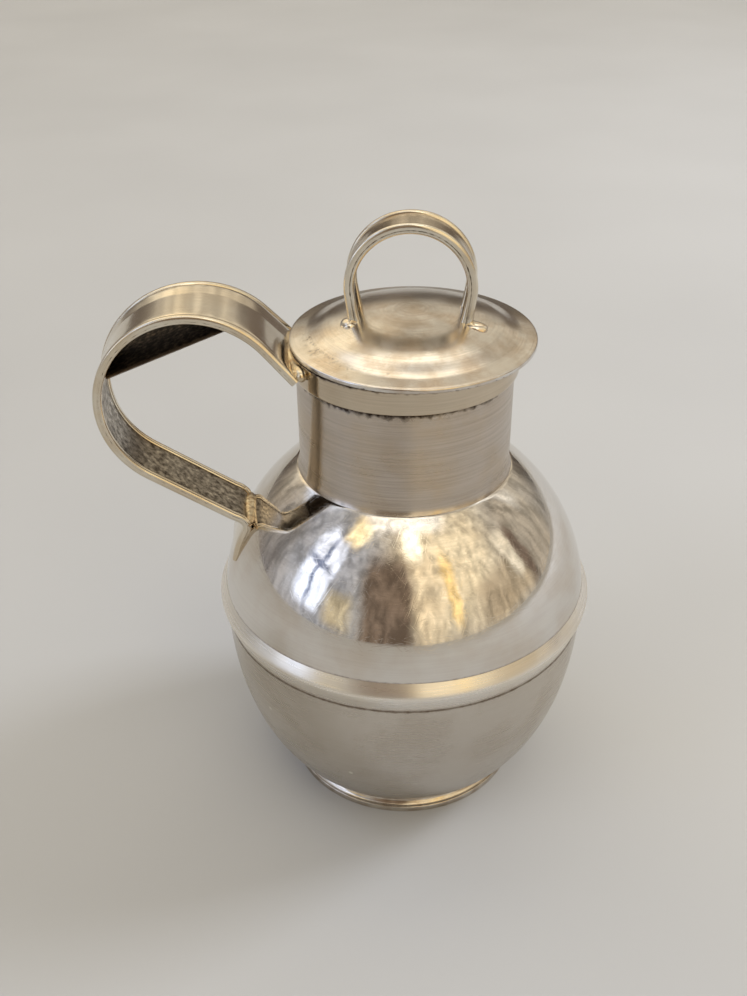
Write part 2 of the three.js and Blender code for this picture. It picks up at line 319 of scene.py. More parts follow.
    def _colour(self, tree: Tree, place: Socket, strokes: Node, film: Node, dark: Node) -> Value:
        """Clean silver, under its warm film, its strokes, its specks and its dark film of sulphide and painted shade.

        Args:
            tree: node tree of the material.
            place: object coordinates, in metres.
            strokes: the streaks.
            film: share of the toning.
            dark: share of the sulphide and painted shade.

        Returns:
            The socket of the colour.
        """
        shade = add_node(tree, "MapRange", {"Value": strokes, **STROKE_RANGE, "To Min": self.contrast, "To Max": 0.0},
                         interpolation_type="SMOOTHSTEP")
        layers = [(film, self.toning), (shade, STROKE_DARK)]
        if self.specks > 0.0:
            layers.append((self._specks(tree, place), SPECK_TONE))
        colour: Value = linear(self.tone)
        for share, code in (*layers, (dark, self.sulphide_and_shade)):
            colour = add_node(tree, "Mix", {0: share, 6: colour, 7: linear(code)}, data_type="RGBA").outputs[2]
        return colour

    def _roughness(self, tree: Tree, strokes: Node, film: Node, dark: Node) -> Node:
        """Rougher in the strokes, under the film and most of all in the sulphide and painted shade.

        Args:
            tree: node tree of the material.
            strokes: the streaks.
            film: share of the toning.
            dark: share of the sulphide and painted shade.

        Returns:
            The node of the roughness.
        """
        rough = {"To Min": self.roughness + STROKE_ROUGHNESS, "To Max": self.roughness}
        base = add_node(tree, "MapRange", {"Value": strokes, **STROKE_RANGE, **rough},
                        interpolation_type="SMOOTHSTEP")
        filmed = add_node(tree, "Math", {0: film, 1: self.duller, 2: base}, operation="MULTIPLY_ADD")
        return add_node(tree, "Math", {0: dark, 1: SULPHIDE_AND_SHADE_ROUGHNESS, 2: filmed}, operation="MULTIPLY_ADD",
                        use_clamp=True)

    def _relief(self, tree: Tree, place: Socket, sheet: Socket, strokes: Node) -> Node:
        """Height in metres: soft unevenness, strokes and scratches, as one bump.

        Args:
            tree: node tree of the material.
            place: object coordinates, in metres.
            sheet: the piece's own map.
            strokes: the streaks.

        Returns:
            The node of the bent normal.
        """
        wave = add_node(tree, "TexNoise", {
            "Vector": place, "Scale": 1.0 / (WAVE_MM * MM), "Detail": 1.0, "Roughness": CLOUD,
        })
        height = add_node(tree, "Math", {0: wave, 1: self.wobble_mm * MM}, operation="MULTIPLY")
        for share, depth in ((strokes, self.stroke_depth_mm), (self._scratches(tree, sheet), -SCRATCH_DEPTH_MM)):
            height = add_node(tree, "Math", {0: share, 1: depth * MM, 2: height}, operation="MULTIPLY_ADD")
        return add_node(tree, "Bump", {"Height": height, "Distance": 1.0, "Strength": 1.0})


@dataclass(frozen=True)
class PolishedSilver(SilverFinish):
    """Buffed sterling: a near mirror that a fine net of hairlines softens."""


@dataclass(frozen=True)
class BrushedSilver(SilverFinish):
    """Sterling left from the brush: close parallel strokes smear lights into tall streaks."""

    roughness: float = 0.12
    scatter: float = 0.5
    stroke_mm: Point = (0.26, 18.0)
    stroke_depth_mm: float = 0.003
    wobble_mm: float = 0.015


@dataclass(frozen=True)
class SatinSilver(SilverFinish):
    """Sterling dulled by handling: a soft reflection of the table, with dust and pits."""

    tone: str = "#C9C2B8"
    toning: str = "#B0A597"
    roughness: float = 0.22
    scatter: float = 0.1
    stroke_depth_mm: float = 0.0004
    specks: float = 0.5
    film: float = 0.5
    contrast: float = 0.03


@dataclass(frozen=True)
class TarnishedSilver(SilverFinish):
    """Sterling out of the cloth's reach: brown to black, with the metal grinning through."""

    tone: str = "#8E7A62"
    toning: str = "#5C4A3A"
    sulphide_and_shade: str = "#1F1915"
    roughness: float = 0.32
    scatter: float = 0.2
    film: float = 0.9
    patch_mm: float = 3.0


# Surfaces


SEAM_DEPTH = 0.62  # place of an edge wire's seam, as a share of its thickness
KINK = 0.42  # place of the fold in the handle's strap, as a share of half its width
SUNK = 0.12  # how far a strap's end goes into what it stands on, in mm
FLARE_MM = 0.7  # length over which a soldered end grows
TRIES = 1200  # places tried along a route to find where it comes out
SHARP_DEGREES = 40.0  # edges sharper than this stay crisp
SIDE_SHARE = 0.45  # longest cut of a rounded corner, as a share of a side


@dataclass
class Skin:
    """A closed surface on a grid of two parameters.

    Columns run round and close on themselves. Rows either close as well, or start and end
    in a point.

    Attributes:
        points: places in mm, as rows, columns, 3.
        sheet: map in metres, with one column more than points, and one row more if a ring.
        tarnish_and_shade: dark film at each place, tarnish and painted shade together, 0 to 1.
        ring: whether the rows close on themselves.
    """

    points: Array
    sheet: Array
    tarnish_and_shade: Array
    ring: bool

    def to_object(self, name: str) -> bpy.types.Object:
        """Puts the surface into a mesh object at the origin.

        Quads join each row to the next. Where a row is a point, its quads lose one corner
        and become a fan. The faces are turned round if the enclosed volume, the sum of
        p . (q x r) / 6 over the faces, comes out negative.

        Args:
            name: name of the object.

        Returns:
            The new object, linked to the scene.
        """
        rows, columns = self.points.shape[:2]
        index = np.arange(rows * columns).reshape(rows, columns)
        if not self.ring:
            index[0], index[-1] = index[0, 0], index[-1, 0]
        used, index = np.unique(index, return_inverse=True)
        index = index.reshape(rows, columns)
        below = np.concatenate([index, index[:, :1]], axis=1)
        below = np.concatenate([below, below[:1]]) if self.ring else below
        quads = _quads(below)
        maps = np.stack([_quads(self.sheet[..., axis]) for axis in (0, 1)], axis=-1)
        places = self.points.reshape(-1, 3)[used] * MM
        a, b, c, d = (places[quads[:, corner]] for corner in range(4))
        volume = np.einsum("ij,ij->", a, np.cross(b, c)) + np.einsum("ij,ij->", a, np.cross(c, d))
        if volume < 0:
            quads, maps = quads[:, ::-1], maps[:, ::-1]
        keep = quads != np.roll(quads, 1, axis=1)
        counts = keep.sum(axis=1)
        starts = np.concatenate([[0], np.cumsum(counts)[:-1]])
        mesh = bpy.data.meshes.new(name)
        mesh.vertices.add(len(places))
        mesh.vertices.foreach_set("co", places.astype(np.float32).ravel())
        mesh.loops.add(int(counts.sum()))
        mesh.loops.foreach_set("vertex_index", quads[keep].astype(np.int32))
        mesh.polygons.add(len(quads))
        mesh.polygons.foreach_set("loop_start", starts.astype(np.int32))
        mesh.uv_layers.new(name="UVMap").uv.foreach_set("vector", maps[keep].astype(np.float32).ravel())
        # The dark film at each place: tarnish, and on some pieces painted shade and painted shadow.
        values = mesh.attributes.new("tarnish_and_shade", "FLOAT", "POINT")
        values.data.foreach_set("value", self.tarnish_and_shade.reshape(-1)[used].astype(np.float32))
        mesh.update(calc_edges=True)
        mesh.polygons.foreach_set("use_smooth", np.ones(len(quads), dtype=bool))
        mesh.set_sharp_from_angle(angle=math.radians(SHARP_DEGREES))
        piece = bpy.data.objects.new(name, mesh)
        bpy.context.scene.collection.objects.link(piece)
        return piece


def _quads(grid: Array) -> Array:
    """The four corner values of every cell of a grid, in order round the cell."""
    cells = (grid[:-1, :-1], grid[:-1, 1:], grid[1:, 1:], grid[1:, :-1])
    return np.stack([cell.reshape(-1) for cell in cells], axis=1)


def circle(count: int) -> Array:
    """Evenly spaced angles once round, in radians."""
    return np.arange(count) / count * 2.0 * math.pi


def bell(value: Array, middle: float, width: Array | float, power: int = 2) -> Array:
    """exp(-|(value - middle) / width| ^ power), which is 1 at the middle and fades on both sides."""
    return np.exp(-np.abs((value - middle) / width) ** power)


def joined(*values: Array) -> Array:
    """Puts values of any matching shapes together as the coordinates of places."""
    return np.stack(np.broadcast_arrays(*values), axis=-1)


def turned(points: Array, degrees: float) -> Array:
    """Turns places about Z."""
    c, s = math.cos(math.radians(degrees)), math.sin(math.radians(degrees))
    return points @ np.array([[c, -s, 0.0], [s, c, 0.0], [0.0, 0.0, 1.0]]).T


def running_length(path: Array, closed: bool = False) -> Array:
    """Distance along a line of points.

    Args:
        path: points, one in each row.
        closed: adds the way back to the first point.

    Returns:
        Distance at each point, with one value more where the line is closed.
    """
    whole = np.concatenate([path, path[:1]]) if closed else path
    return np.concatenate([[0.0], np.cumsum(np.linalg.norm(np.diff(whole, axis=0), axis=1))])


def rounded(corners: list[Point], radii: list[float], closed: bool = True, steps: int = 5,
            spacing: float = 0.6) -> Array:
    """A line through corners, each rounded off, with points no further apart than spacing.

    Each corner p becomes the curve (1-t)^2 a + 2t(1-t) p + t^2 b, where a and b lie back
    along the two sides by the corner's radius, and by no more than 0.45 of a side.

    Args:
        corners: corner points in mm.
        radii: radius of each corner in mm.
        closed: whether the last corner runs back to the first.
        steps: spans of each curve.
        spacing: longest span of the straight parts, in mm.

    Returns:
        Points of the line, one in each row.
    """
    place, reach = np.array(corners, dtype=float), np.array(radii, dtype=float)
    before, after = np.roll(place, 1, axis=0) - place, np.roll(place, -1, axis=0) - place
    long_before, long_after = (np.linalg.norm(side, axis=1) for side in (before, after))
    if not closed:
        reach[[0, -1]] = 0.0
    reach = np.minimum(reach, SIDE_SHARE * np.minimum(long_before, long_after))
    start = place + before / long_before[:, None] * reach[:, None]
    end = place + after / long_after[:, None] * reach[:, None]
    t = np.linspace(0.0, 1.0, steps + 1)[None, :, None]
    curve = (1 - t) ** 2 * start[:, None] + 2 * t * (1 - t) * place[:, None] + t ** 2 * end[:, None]
    knots = curve.reshape(-1, 2)
    knots = knots[np.concatenate([[True], np.linalg.norm(np.diff(knots, axis=0), axis=1) > 1e-6])]
    return refined(knots, closed, spacing)


def refined(knots: Array, closed: bool, spacing: float) -> Array:
    """Adds points to a line until no span is longer than spacing.

    Args:
        knots: points of the line.
        closed: whether it runs back to its first point.
        spacing: longest span, in mm.

    Returns:
        The knots and the points between them, in order.
    """
    far = running_length(knots, closed)
    whole = np.concatenate([knots, knots[:1]]) if closed else knots
    even = np.linspace(0.0, far[-1], max(int(far[-1] / spacing), 2) + 1)
    crowded = np.abs(even[:, None] - far[None, :]).min(axis=1) < 0.3 * spacing
    at = np.sort(np.concatenate([far, even[~crowded]]))
    line = joined(*(np.interp(at, far, whole[:, axis]) for axis in (0, 1)))
    return line[:-1] if closed else line


def bezier(a: Point, b: Point, c: Point, steps: int) -> Array:
    """The curve (1-t)^2 a + 2t(1-t) b + t^2 c, as steps + 1 points."""
    t = np.linspace(0.0, 1.0, steps + 1)[:, None]
    return (1 - t) ** 2 * np.array(a) + 2 * t * (1 - t) * np.array(b) + t ** 2 * np.array(c)


@dataclass(frozen=True)
class Lathe:
    """Turns a profile round an upright axis.

    A place is (centre + radius cos a, radius sin a, height) for each profile point and each
    angle a. The map's first way is the arc at a fixed radius, its second the running length
    of the profile. The seam of the map lies under the handle.

    Attributes:
        centre_x: the axis, along X.
        turns: columns round the axis.
    """

    centre_x: float = AXIS_X
    turns: int = 256

    def skin(self, profile: Array, tarnish_and_shade: Callable[[Array, Array, Array], Array], ring: bool = True) -> Skin:
        """Works out the turned surface.

        Args:
            profile: radius and height of each point.
            tarnish_and_shade: dark film of tarnish and painted shade, from radius, height and angle.
            ring: whether the profile closes on itself, or starts and ends on the axis.

        Returns:
            The closed surface.
        """
        angle = math.pi + np.arange(self.turns + 1) / self.turns * 2.0 * math.pi
        radius, height = profile[:, :1], profile[:, 1:]
        around = angle[None, :-1]
        points = joined(self.centre_x + radius * np.cos(around), radius * np.sin(around), height)
        arc = (angle - math.pi) * profile[:, 0].max()
        sheet = joined(arc[None, :], running_length(profile, ring)[:, None]) * MM
        film = np.broadcast_to(tarnish_and_shade(radius, height, around), points.shape[:2])
        return Skin(points, sheet, film, ring)


@dataclass(frozen=True)
class Route:
    """A line in a plane through the axis, with the direction to its left.

    Attributes:
        line: points as X and Z, evenly spaced.
    """

    line: Array

    def at(self, distance: Array) -> tuple[Array, Array, Array, Array]:
        """Place and left-hand direction at distances along the line.

        Args:
            distance: distances in mm, of any shape.

        Returns:
            X, Z, and the left-hand direction's X and Z.
        """
        far = running_length(self.line)
        along = np.gradient(self.line, far, axis=0)
        along /= np.linalg.norm(along, axis=1, keepdims=True)
        values = (self.line[:, 0], self.line[:, 1], -along[:, 1], along[:, 0])
        return tuple(np.interp(distance, far, value) for value in values)

    @property
    def length(self) -> float:
        """Length of the whole line."""
        return float(running_length(self.line)[-1])


@dataclass(frozen=True)
class Strip:
    """A bar carried along a route, and cut off where it enters another surface.

    A place is route(s) + depth * left + Y * (offset(s) + across * reach(s)), where the
    section gives across, from -1 to 1, and depth. Each column of the grid starts and ends
    at the distance s at which it comes out of the other surface. Close to its ends the
    section grows by 1 + flare * exp(-way to the end / 0.7 mm), which draws the solder.

    Attributes:
        route: the line that it follows.
        section: across and depth of each point, round the section.
        offset: middle of the section along Y, in mm, from the distance.
        reach: half its width, in mm, from the distance.
        outside: height over the other surface, in mm, from places.
        flare: share by which the ends grow.
        rows: rows along the route.
        cut_end: whether the far end is cut by the other surface as the near end is.
        hug: shift along X in mm that bends the bar to the surface it lies on, from the
            distance, Y and Z.
    """

    route: Route
    section: Array
    offset: Callable[[Array], Array]
    reach: Callable[[Array], Array]
    outside: Callable[[Array], Array] | None = None
    flare: float = 0.0
    rows: int = 220
    cut_end: bool = True
    hug: Callable[[Array, Array, Array], Array] | None = None

    def places(self, distance: Array, growth: Array | float = 1.0) -> Array:
        """Places of the section's points at distances along the route.

        Args:
            distance: distances in mm.
            growth: size of the section, where 1 is its own.

        Returns:
            Places in mm.
        """
        across, depth = self.section[:, 0][None, :], self.section[:, 1][None, :]
        middle = 0.5 * (depth.min() + depth.max())
        x, z, left_x, left_z = self.route.at(distance)
        deep = middle + (depth - middle) * growth
        y = self.offset(distance) + across * self.reach(distance) * growth
        x, y, z = x + left_x * deep, y + 0.0 * x, z + left_z * deep
        shift = self.hug(distance, y, z) if self.hug else 0.0
        return joined(x + shift, y, z)

    def ends(self) -> tuple[Array, Array]:
        """Distances at which each column leaves the other surface and meets it again.

        Returns:
            The first and the last distance of each column.
        """
        tried = np.linspace(0.0, self.route.length, TRIES)[:, None] + 0.0 * self.section[:, 0][None, :]
        if self.outside is None:
            return tried[0], tried[-1]
        height = self.outside(self.places(tried))
        inside = height < 0
        half = TRIES // 2
        first = half - 1 - np.argmax(inside[:half][::-1], axis=0)
        last = half + np.argmax(inside[half:], axis=0)
        first = np.where(inside[:half].any(axis=0), first, 0)
        last = np.where(inside[half:].any(axis=0), last, TRIES - 1)
        start = self._crossing(tried, height, first, np.minimum(first + 1, TRIES - 1))
        if not self.cut_end:
            return start, tried[-1]
        return start, self._crossing(tried, height, last, np.maximum(last - 1, 0))

    @staticmethod
    def _crossing(tried: Array, height: Array, inner: Array, outer: Array) -> Array:
        """Distance of zero height between a place inside and the next one outside.

        Args:
            tried: distances tried, as rows.
            height: height over the surface at each.
            inner: row of each column that lies inside.
            outer: row next to it, outside.

        Returns:
            Distance of each column.
        """
        columns = np.arange(height.shape[1])
        low, high = height[inner, columns], height[outer, columns]
        share = np.where(low < 0, -low / np.where(high - low == 0, 1.0, high - low), 0.0)
        return tried[inner, columns] * (1 - share) + tried[outer, columns] * share

    def skin(self, tarnish_and_shade: Callable[[Array, Array], Array]) -> Skin:
        """Works out the closed surface, with both ends drawn together to a point.

        Args:
            tarnish_and_shade: dark film of tarnish and painted shade, from the distance and the section's points.

        Returns:
            The closed surface.
        """
        start, end = self.ends()
        u = np.linspace(0.0, 1.0, self.rows)[:, None]
        distance = start[None, :] * (1 - u) + end[None, :] * u
        way = np.minimum(distance - start[None, :], end[None, :] - distance)
        points = self.places(distance, 1.0 + self.flare * np.exp(-way / FLARE_MM))
        caps = [points[row].mean(axis=0)[None, None, :].repeat(points.shape[1], axis=1) for row in (0, -1)]
        points = np.concatenate([caps[0], points, caps[1]])
        distance = np.concatenate([distance[:1], distance, distance[-1:]])
        far = running_length(self.section * np.array([self.reach(np.array(0.0)), 1.0]), True)
        along = np.concatenate([distance, distance[:, :1]], axis=1)
        film = np.broadcast_to(tarnish_and_shade(distance, self.section), points.shape[:2])
        return Skin(points, joined(along, far[None, :]) * MM, film, False)


def wire_section(thickness: float, fullness: float, groove: float, count: int = 44) -> Array:
    """Section of an edge wire: |across|^n + |depth|^n = 1, where n is the fullness.

    A groove, the seam between the wire and the strap's own edge, draws across in by the
    share groove * exp(-((depth - 0.62 thickness) / 0.1 thickness)^2).

    Args:
        thickness: thickness of the wire in mm.
        fullness: n, 2 for a round wire and more for a squarer one.
        groove: depth of the seam, as a share of half the width.
        count: points round the section.

    Returns:
        Across, from -1 to 1, and depth from 0 to the thickness.
    """
    t = circle(count)
    across, deep = (np.sign(wave) * np.abs(wave) ** (2.0 / fullness) for wave in (np.cos(t), np.sin(t)))
    depth = (1.0 + deep) * thickness / 2.0
    return joined(across * (1.0 - groove * bell(depth / thickness, SEAM_DEPTH, 0.1)), depth)


def seam_tarnish(distance: Array, section: Array, thickness: float, dark: float) -> Array:
    """Film in the seam of an edge wire: dark * exp(-((depth / thickness - 0.62) / 0.07)^2)."""
    side = np.abs(section[:, 0])[None, :] > 0.5
    return 0.0 * distance + np.where(side, dark * bell(section[:, 1][None, :] / thickness, SEAM_DEPTH, 0.07), 0.0)


def strip_section(depth: float, thickness: float, lift: float = 0.0, count: int = 24) -> Array:
    """Section of a flat strip: count points across each face, and its two edges rounded.

    The outer face rises beyond 0.42 of the way to the far edge by lift * (t - 0.42) / 0.58.

    Args:
        depth: depth of the outer face in mm.
        thickness: thickness in mm.
        lift: rise of the outer face at the far edge in mm.
        count: points across each face.

    Returns:
        Across, from -1 to 1, and depth of each point round the section.
    """
    t = np.sort(np.concatenate([np.linspace(-1.0, 1.0, count), [KINK - 0.02, KINK + 0.02]]))
    edge = np.sqrt(np.clip(1.0 - np.abs(t) ** 16, 0.0, 1.0)) * 0.5
    rise = lift * np.clip((t - KINK) / (1.0 - KINK), 0.0, 1.0)
    outer = joined(t, depth + thickness * (0.5 - edge) - rise)
    inner = joined(t[::-1], depth + thickness * (0.5 + edge[::-1]))[1:-1]
    return np.concatenate([outer, inner])


def solder_drop(centre: Triple, size: Triple, turn: float = 0.0, tarnish_and_shade: float = 0.0) -> Skin:
    """A run of solder: an ellipsoid whose radius swells and sinks by a tenth.

    A place is centre + size * (1 + 0.1 sin(3a) sin(2b)) * (cos a sin b, sin a sin b, cos b),
    turned about Z. The swelling leaves the third coordinate as it is.

    Args:
        centre: middle in mm.
        size: half its length, width and height in mm.
        turn: degrees about Z.
        tarnish_and_shade: dark film on all of it, 0 to 1.

    Returns:
        The closed surface.
    """
    a, b = circle(28)[None, :], np.linspace(0.0, math.pi, 16)[:, None]
    swell = 1.0 + 0.1 * np.sin(3.0 * a) * np.sin(2.0 * b)
    unit = joined(swell * np.cos(a) * np.sin(b), swell * np.sin(a) * np.sin(b), np.cos(b))
    points = turned(unit * np.array(size), turn) + np.array(centre)
    sheet = joined(np.linspace(0.0, 3.0, 29)[None, :], b) * MM
    return Skin(points, sheet, np.full(points.shape[:2], tarnish_and_shade), False)


def solder_fillet(radius: float, height: float, spread: float, thickness: float) -> Skin:
    """A run of solder round the jug's wall on the handle's side.

    A place is on a circle of the radius r = thickness * (0.6 + 0.65 |t|^3)
    (1 + 0.13 sin(9t + 1)) * sqrt(1 - |t|^8) about the point (radius + 0.8 |t|^3, 180 degrees
    + spread t, height), where t goes from -1 to 1. It swells at both ends and leaves the wall
    there, where the strap's corners are.

    Args:
        radius: radius of the wall in mm.
        height: height of the run's middle in mm.
        spread: half its length in degrees.
        thickness: half its thickness in mm.

    Returns:
        The closed surface.
    """
    t, around = np.linspace(-1.0, 1.0, 72)[:, None], circle(20)[None, :]
    size = thickness * (0.6 + 0.65 * np.abs(t) ** 3) * (1.0 + 0.13 * np.sin(9.0 * t + 1.0))
    size = size * np.sqrt(np.clip(1.0 - np.abs(t) ** 8, 0.0, 1.0))
    angle = math.pi + math.radians(spread) * t
    out = radius + 0.8 * np.abs(t) ** 3 + size * np.cos(around)
    points = joined(AXIS_X + out * np.cos(angle), out * np.sin(angle), height + size * np.sin(around))
    sheet = joined(np.linspace(0.0, 5.0, 21)[None, :], 10.0 * t) * MM
    return Skin(points, sheet, np.zeros(points.shape[:2]), False)


# Sub-assemblies


@dataclass
class SubAssembly(ABC):
    """A group of pieces of the jug that one worker would make together."""

    body: str = JUG_BODY

    @abstractmethod
    def build(self) -> list[bpy.types.Object]:
        """Builds and dresses every piece of the group."""

    def dress(self, skin: Skin, name: str, node: str, finish: SilverFinish,
              stands_for: bool = True) -> bpy.types.Object:
        """Makes one piece, gives it its finish and ties it to the frame.

        Args:
            skin: the piece's surface.
            name: name of the new object.
            node: CAD node that it belongs to.
            finish: its finish.
            stands_for: whether it takes the place of the CAD node.

        Returns:
            The finished object.
        """
        piece = skin.to_object(name)
        piece.data.materials.append(finish.build())
        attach(piece, self.body)
        if stands_for:
            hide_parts(node)
        return piece


@dataclass
class Foot(SubAssembly):
    """The foot ring: a drawn hoop with a spread lower edge, soldered under the bowl."""

    radius: float = 20.5
    height: float = 3.3
    wall: float = 1.1
    flare: float = 1.2
    lip: float = 1.1
    overlap: float = 0.32

    def build(self) -> list[bpy.types.Object]:
        """The ring, with a concave waist over its spread edge.

        Returns:
            The finished pieces.
        """
        top = self.radius - self.flare
        inner, high = top - self.wall, self.height + self.overlap
        waist = bezier((self.radius - 0.15, self.lip), (top + 0.05, self.lip + 0.25), (top, self.height - 0.3), 12)
        corners = [(inner, 0.0), (self.radius - 0.05, 0.0), (self.radius, self.lip * 0.55), *map(tuple, waist),
                   (top + 0.35, high), (inner, high)]
        radii = [0.3, 0.4, 0.6, *([0.1] * len(waist)), 0.1, 0.1]
        skin = Lathe(turns=240).skin(rounded(corners, radii, steps=4, spacing=0.4), self.tarnish_and_shade)
        return [self.dress(skin, "foot_hoop", "foot_ring", PolishedSilver(
            "polished_silver_foot", tone="#DDD6CB", toning="#9A8266", film=0.6, patch_mm=3.5, roughness=0.12))]

    def tarnish_and_shade(self, radius: Array, height: Array, angle: Array) -> Array:
        """Dark close under the bowl."""
        return 0.55 * np.clip((height - self.height + 0.6) / 0.8, 0, 1)


@dataclass
class Belly(SubAssembly):
    """The pot belly: two spun halves and the half-round girdle over their seam."""

    radius: float = 30.5
    widest: float = 36.2
    base: float = 3.6
    flat: float = 19.6
    corner_run: float = 1.4
    corner_rise: float = 2.4
    top: float = 60.5
    neck: float = 16.8
    bowl_fullness: float = 2.42
    shoulder_fullness: float = 1.84
    girdle_height: float = 5.7
    girdle_crown: float = 1.2
    girdle_edge: float = -0.55
    girdle_ridge: float = 0.45
    girdle_softness: float = 0.2
    girdle_overlap: float = 0.3
    girdle_sunk: float = 0.05

    def _depth(self, run: float, end: float, fullness: float) -> float:
        """Depth of the curve that comes to the radius end at the distance run."""
        return run / (1.0 - (end / self.radius) ** 2) ** (1.0 / fullness)

    def _curve(self, distance: Array, depth: float, fullness: float, inset: float) -> Array:
        """Radius = (belly - inset) * sqrt(1 - (distance / (depth - inset)) ^ fullness)."""
        share = np.clip(distance / (depth - inset), 0.0, 1.0)
        return (self.radius - inset) * np.sqrt(1.0 - share ** fullness)

    def bowl_radius(self, drop: Array, inset: float = 0.0) -> Array:
        """Radius of the bowl at a distance under the widest line."""
        depth = self._depth(self.widest - self.base, self.flat + self.corner_run, self.bowl_fullness)
        return self._curve(drop, depth, self.bowl_fullness, inset)

    def shoulder_radius(self, rise: Array, inset: float = 0.0) -> Array:
        """Radius of the shoulder at a distance over the widest line."""
        depth = self._depth(self.top - self.widest, self.neck, self.shoulder_fullness)
        return self._curve(rise, depth, self.shoulder_fullness, inset)

    def bowl_wall(self, inset: float) -> Array:
        """Profile of the bowl from its base to the widest line, one wall's inset in.

        Args:
            inset: how far the line lies inside the outer skin, in mm.

        Returns:
            Radius and height of each point.
        """
        floor = self.base + inset
        height = np.linspace(floor + self.corner_rise, self.widest - 0.01, 44)
        side = joined(self.bowl_radius(self.widest - height, inset), height)
        corner = bezier((self.flat, floor), (self.flat + self.corner_run, floor), tuple(side[0]), 10)
        return np.concatenate([corner, side[1:]])

    def shoulder_wall(self, inset: float) -> Array:
        """Profile of the shoulder from the widest line to the neck."""
        height = np.linspace(self.widest + 0.01, self.top, 44)
        return joined(self.shoulder_radius(height - self.widest, inset), height)

    def bowl(self) -> Skin:
        """The bowl: flat base, rounded corner and full side, inside and out.

        Returns:
            The closed surface.
        """
        floor = joined(np.linspace(0.0, self.flat, 14)[:-1], self.base)
        inner = floor[::-1] + np.array([0.0, SHEET])
        profile = np.concatenate([floor, self.bowl_wall(0.0), self.bowl_wall(SHEET)[::-1], inner])
        return Lathe().skin(profile, self.bowl_tarnish, ring=False)

    def bowl_tarnish(self, radius: Array, height: Array, angle: Array) -> Array:
        """Dark under the girdle, close over the foot and on the base."""
        girdle = bell(height, self.widest - self.girdle_height / 2, 0.3, 1)
        return np.clip(0.75 * girdle + 0.4 * bell(height, self.base, 0.5, 1), 0.0, 1.0)

    def shoulder(self) -> Skin:
        """The shoulder, inside and out."""
        profile = np.concatenate([self.shoulder_wall(0.0), self.shoulder_wall(SHEET)[::-1]])
        return Lathe().skin(profile, self.shoulder_tarnish)

    def shoulder_tarnish(self, radius: Array, height: Array, angle: Array) -> Array:
        """Dark in the corner over the girdle and round the neck."""
        girdle = bell(height, self.widest + self.girdle_height / 2, 0.3, 1)
        return np.clip(0.5 * girdle + 0.3 * bell(height, self.top, 0.35, 1), 0.0, 1.0)

    def girdle(self) -> Skin:
        """The hoop: two nearly flat flanks that meet in a soft ridge, with solder at both edges.

        Radius = edge + crown (1 - s), where s = (sqrt(t^2 + k^2) - k) / (sqrt(1 + k^2) - k),
        t is the distance from the ridge over the flank's height and k the ridge's softness.

        Returns:
            The closed surface.
        """
        half, soft, ridge = self.girdle_height / 2, self.girdle_softness, self.girdle_ridge
        rise = np.linspace(-half, half, 61)
        t = np.where(rise > ridge, (rise - ridge) / (half - ridge), (ridge - rise) / (half + ridge))
        fall = (np.sqrt(t ** 2 + soft ** 2) - soft) / (math.sqrt(1.0 + soft ** 2) - soft)
        edge = self.radius + SEAM + self.girdle_edge
        crown = joined(edge + self.girdle_crown * (1.0 - fall), self.widest + rise)
        lap = self.girdle_overlap
        under, over = (float(wall(half + lap, self.girdle_sunk)) for wall in (self.bowl_radius, self.shoulder_radius))
        low, high = self.widest - half - lap, self.widest + half + lap
        profile = np.concatenate([[[under - lap, low + lap], [under, low]], crown,
                                  [[over, high], [over - lap, high - lap]]])
        return Lathe().skin(refined(profile, True, 0.5), self.girdle_tarnish)

    def girdle_tarnish(self, radius: Array, height: Array, angle: Array) -> Array:
        """One thin dark line in each corner, where solder meets the belly."""
        return np.where(np.abs(height - self.widest) - self.girdle_height / 2 > -0.1, 0.72, 0.0)

    def build(self) -> list[bpy.types.Object]:
        """Bowl, shoulder and girdle.

        Returns:
            The finished pieces.
        """
        return [
            self.dress(self.bowl(), "pot_bowl", "lower_bowl", SatinSilver(
                "satin_silver_bowl", sulphide_and_shade="#5C4836", ragged=0.4)),
            self.dress(self.shoulder(), "pot_shoulder", "shoulder", PolishedSilver(
                "polished_silver_shoulder", sulphide_and_shade="#4E3C2D", roughness=0.035, scatter=0.15,
                stroke_depth_mm=0.0005, scratch=0.8, duller=0.03, ragged=0.35, contrast=0.06)),
            self.dress(self.girdle(), "girdle_hoop", "girdle_band", PolishedSilver(
                "polished_silver_girdle", tone="#F0EBE3", toning="#DCCBAA", sulphide_and_shade="#5C4836", roughness=0.26,
                scatter=0.6, stroke_depth_mm=0.002, film=0.3, ragged=0.15, contrast=0.08)),
        ]


